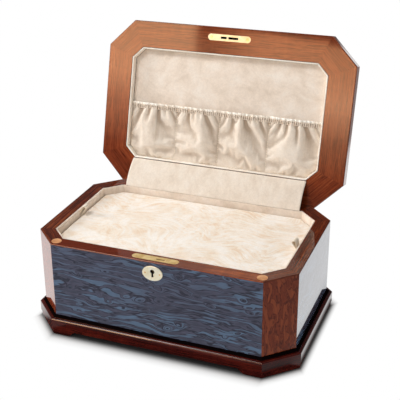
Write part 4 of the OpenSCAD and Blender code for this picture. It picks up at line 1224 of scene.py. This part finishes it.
head = bpy.data.objects.new("screw_head_work", screw_head())
scene.collection.objects.link(head)
upwards, out_front = Vector((0, 0, 1)), Vector((0, -1, 0))
from_lid = (open_turn.to_3x3() @ -upwards).normalized()
for body, sets in (
        ("body", [("lock_screws", 2.3, upwards), ("escutcheon_screws", 1.25, out_front),
                  ("hinge_body_screws", 1.8, upwards)]),
        ("lid", [("strike_screws", 2.3, from_lid), ("hinge_lid_screws", 1.8, from_lid)])):
    name = "brass_screws_" + body
    driven = run_tree(drive, screw_points(sets, name + "_places"), name, {
        "Head": head, "Head size": 1.0, "Slot seed": 5, "Material": finishes["plate_brass"]}, body)
    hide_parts(*[node for node, _, _ in sets])
    print(name, len(driven.data.polygons), "faces")
bpy.data.objects.remove(head)

# %% [markdown]
# ## Hinge flap
# A strip of suede hides the hinges. It is never quite flat, because the cloth was cut a little long so that
# the lid can open.

# %% Flap
flap_w, flap_long, flap_thick = 258, 46.2, 0.8
flap_foot = Vector((0, 91.75 * MM + middle_y, z_rim - 0.4 * MM))
flap_head = open_turn @ Vector((0, 80.9 * MM + middle_y, z_lid - 0.1 * MM))
flap_mid = (flap_foot + flap_head) / 2 + Vector((0, -4.2 * MM, 4.2 * MM))
across_n, along_n = 172, 26


def flap_point(i, j, under):
    """A point of the flap, which is a little wavy and lies lower at its two ends."""
    t, x = j / along_n, (-flap_w / 2 + flap_w * i / across_n) * MM
    base = flap_foot * (1 - t) ** 2 + flap_mid * 2 * t * (1 - t) + flap_head * t * t
    slope = ((flap_mid - flap_foot) * (1 - t) + (flap_head - flap_mid) * t).normalized()
    wave = math.sin(math.pi * t) * (0.5 * noise.noise(Vector((x * 14, t * 2.1, 1.3))) + 0.22 * noise.noise(
        Vector((x * 60, t * 1.4, 4.1))))
    edge = min(1.0, (flap_w / 2 * MM - abs(x)) / (1.5 * MM))
    lift_by = (1.15 + wave - 0.35 * (1 - edge)) * MM - under
    return base + Vector((x, 0, 0)) + Vector((0, -slope.z, slope.y)) * lift_by


face_rows, under_rows = ([[flap_point(i, j, under) for i in range(across_n + 1)] for j in range(along_n + 1)]
                         for under in (0, flap_thick * MM))
flap_mesh = closed_mesh(slab(face_rows, under_rows), "suede_flap", 80)
flap = bpy.data.objects.new("suede_flap", flap_mesh)
scene.collection.objects.link(flap)
flap_mesh.materials.append(finishes["pocket_suede"])
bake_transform(flap)
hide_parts("hinge_flap")
print("flap", flap_w, "by", flap_long, "mm,", len(flap_mesh.polygons), "faces")

# %% [markdown]
# ## Pull loops
# Two ribbon loops lift the cover out. Each comes up between cover and lining, turns over in a round eye and
# goes back down, leaning in over the cover. Ribbon is springy, so the eye stays open.


# %% Ribbon loops
def pull_loop(side, legs=6, across_parts=10, ribbon_w=12, thick=0.7 * MM):
    edge, top, base = 153.2 * MM, 121.4 * MM, 114.2 * MM
    lean, r, reach = math.radians(24), 2.3 * MM, 12.4 * MM
    tangent = math.acos(r / reach)
    touch = [Vector((r * math.sin(a), reach - r * math.cos(a))) for a in
             np.linspace(tangent, 2 * math.pi - tangent, 22)]
    eye = [Vector((0, 0)).lerp(touch[0], i / legs) for i in range(1, legs)] + touch + [
        touch[-1].lerp(Vector((0, 0)), i / legs) for i in range(1, legs)]
    turn = Matrix.Rotation(lean, 2)
    line = [Vector((0, base - top)), Vector((0, (base - top) / 2)), Vector((0, 0))] + [turn @ p for p in eye]
    grids = ([], [])
    for i, p in enumerate(line):
        along = (line[min(len(line) - 1, i + 1)] - line[max(0, i - 1)]).normalized()
        n = Vector((-along.y, along.x))
        for s, grid in zip((1, -1), grids):
            row = []
            for k in range(across_parts + 1):
                curl = 0.25 * MM * math.sin(k / across_parts * math.pi + i * 0.21)
                thin = thick * (0.55 if k in (0, across_parts) else 1)
                q = p + n * (s * thin / 2 + curl)
                y = (-ribbon_w / 2 + ribbon_w * k / across_parts) * MM
                row.append(Vector((side * (edge + q.x), y + middle_y, top + q.y)))
            grid.append(row)
    hand = "right" if side > 0 else "left"
    name = "ribbon_loop_" + hand
    piece = show(closed_mesh(slab(*grids), name, 60), name, "ribbon", "cover", ["pull_loop_" + hand])
    length = sum((b - a).length for a, b in zip(line, line[1:]))
    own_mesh(piece)
    return length


print("ribbon in each loop", [round(pull_loop(side) * 1000, 1) for side in (-1, 1)], "mm")
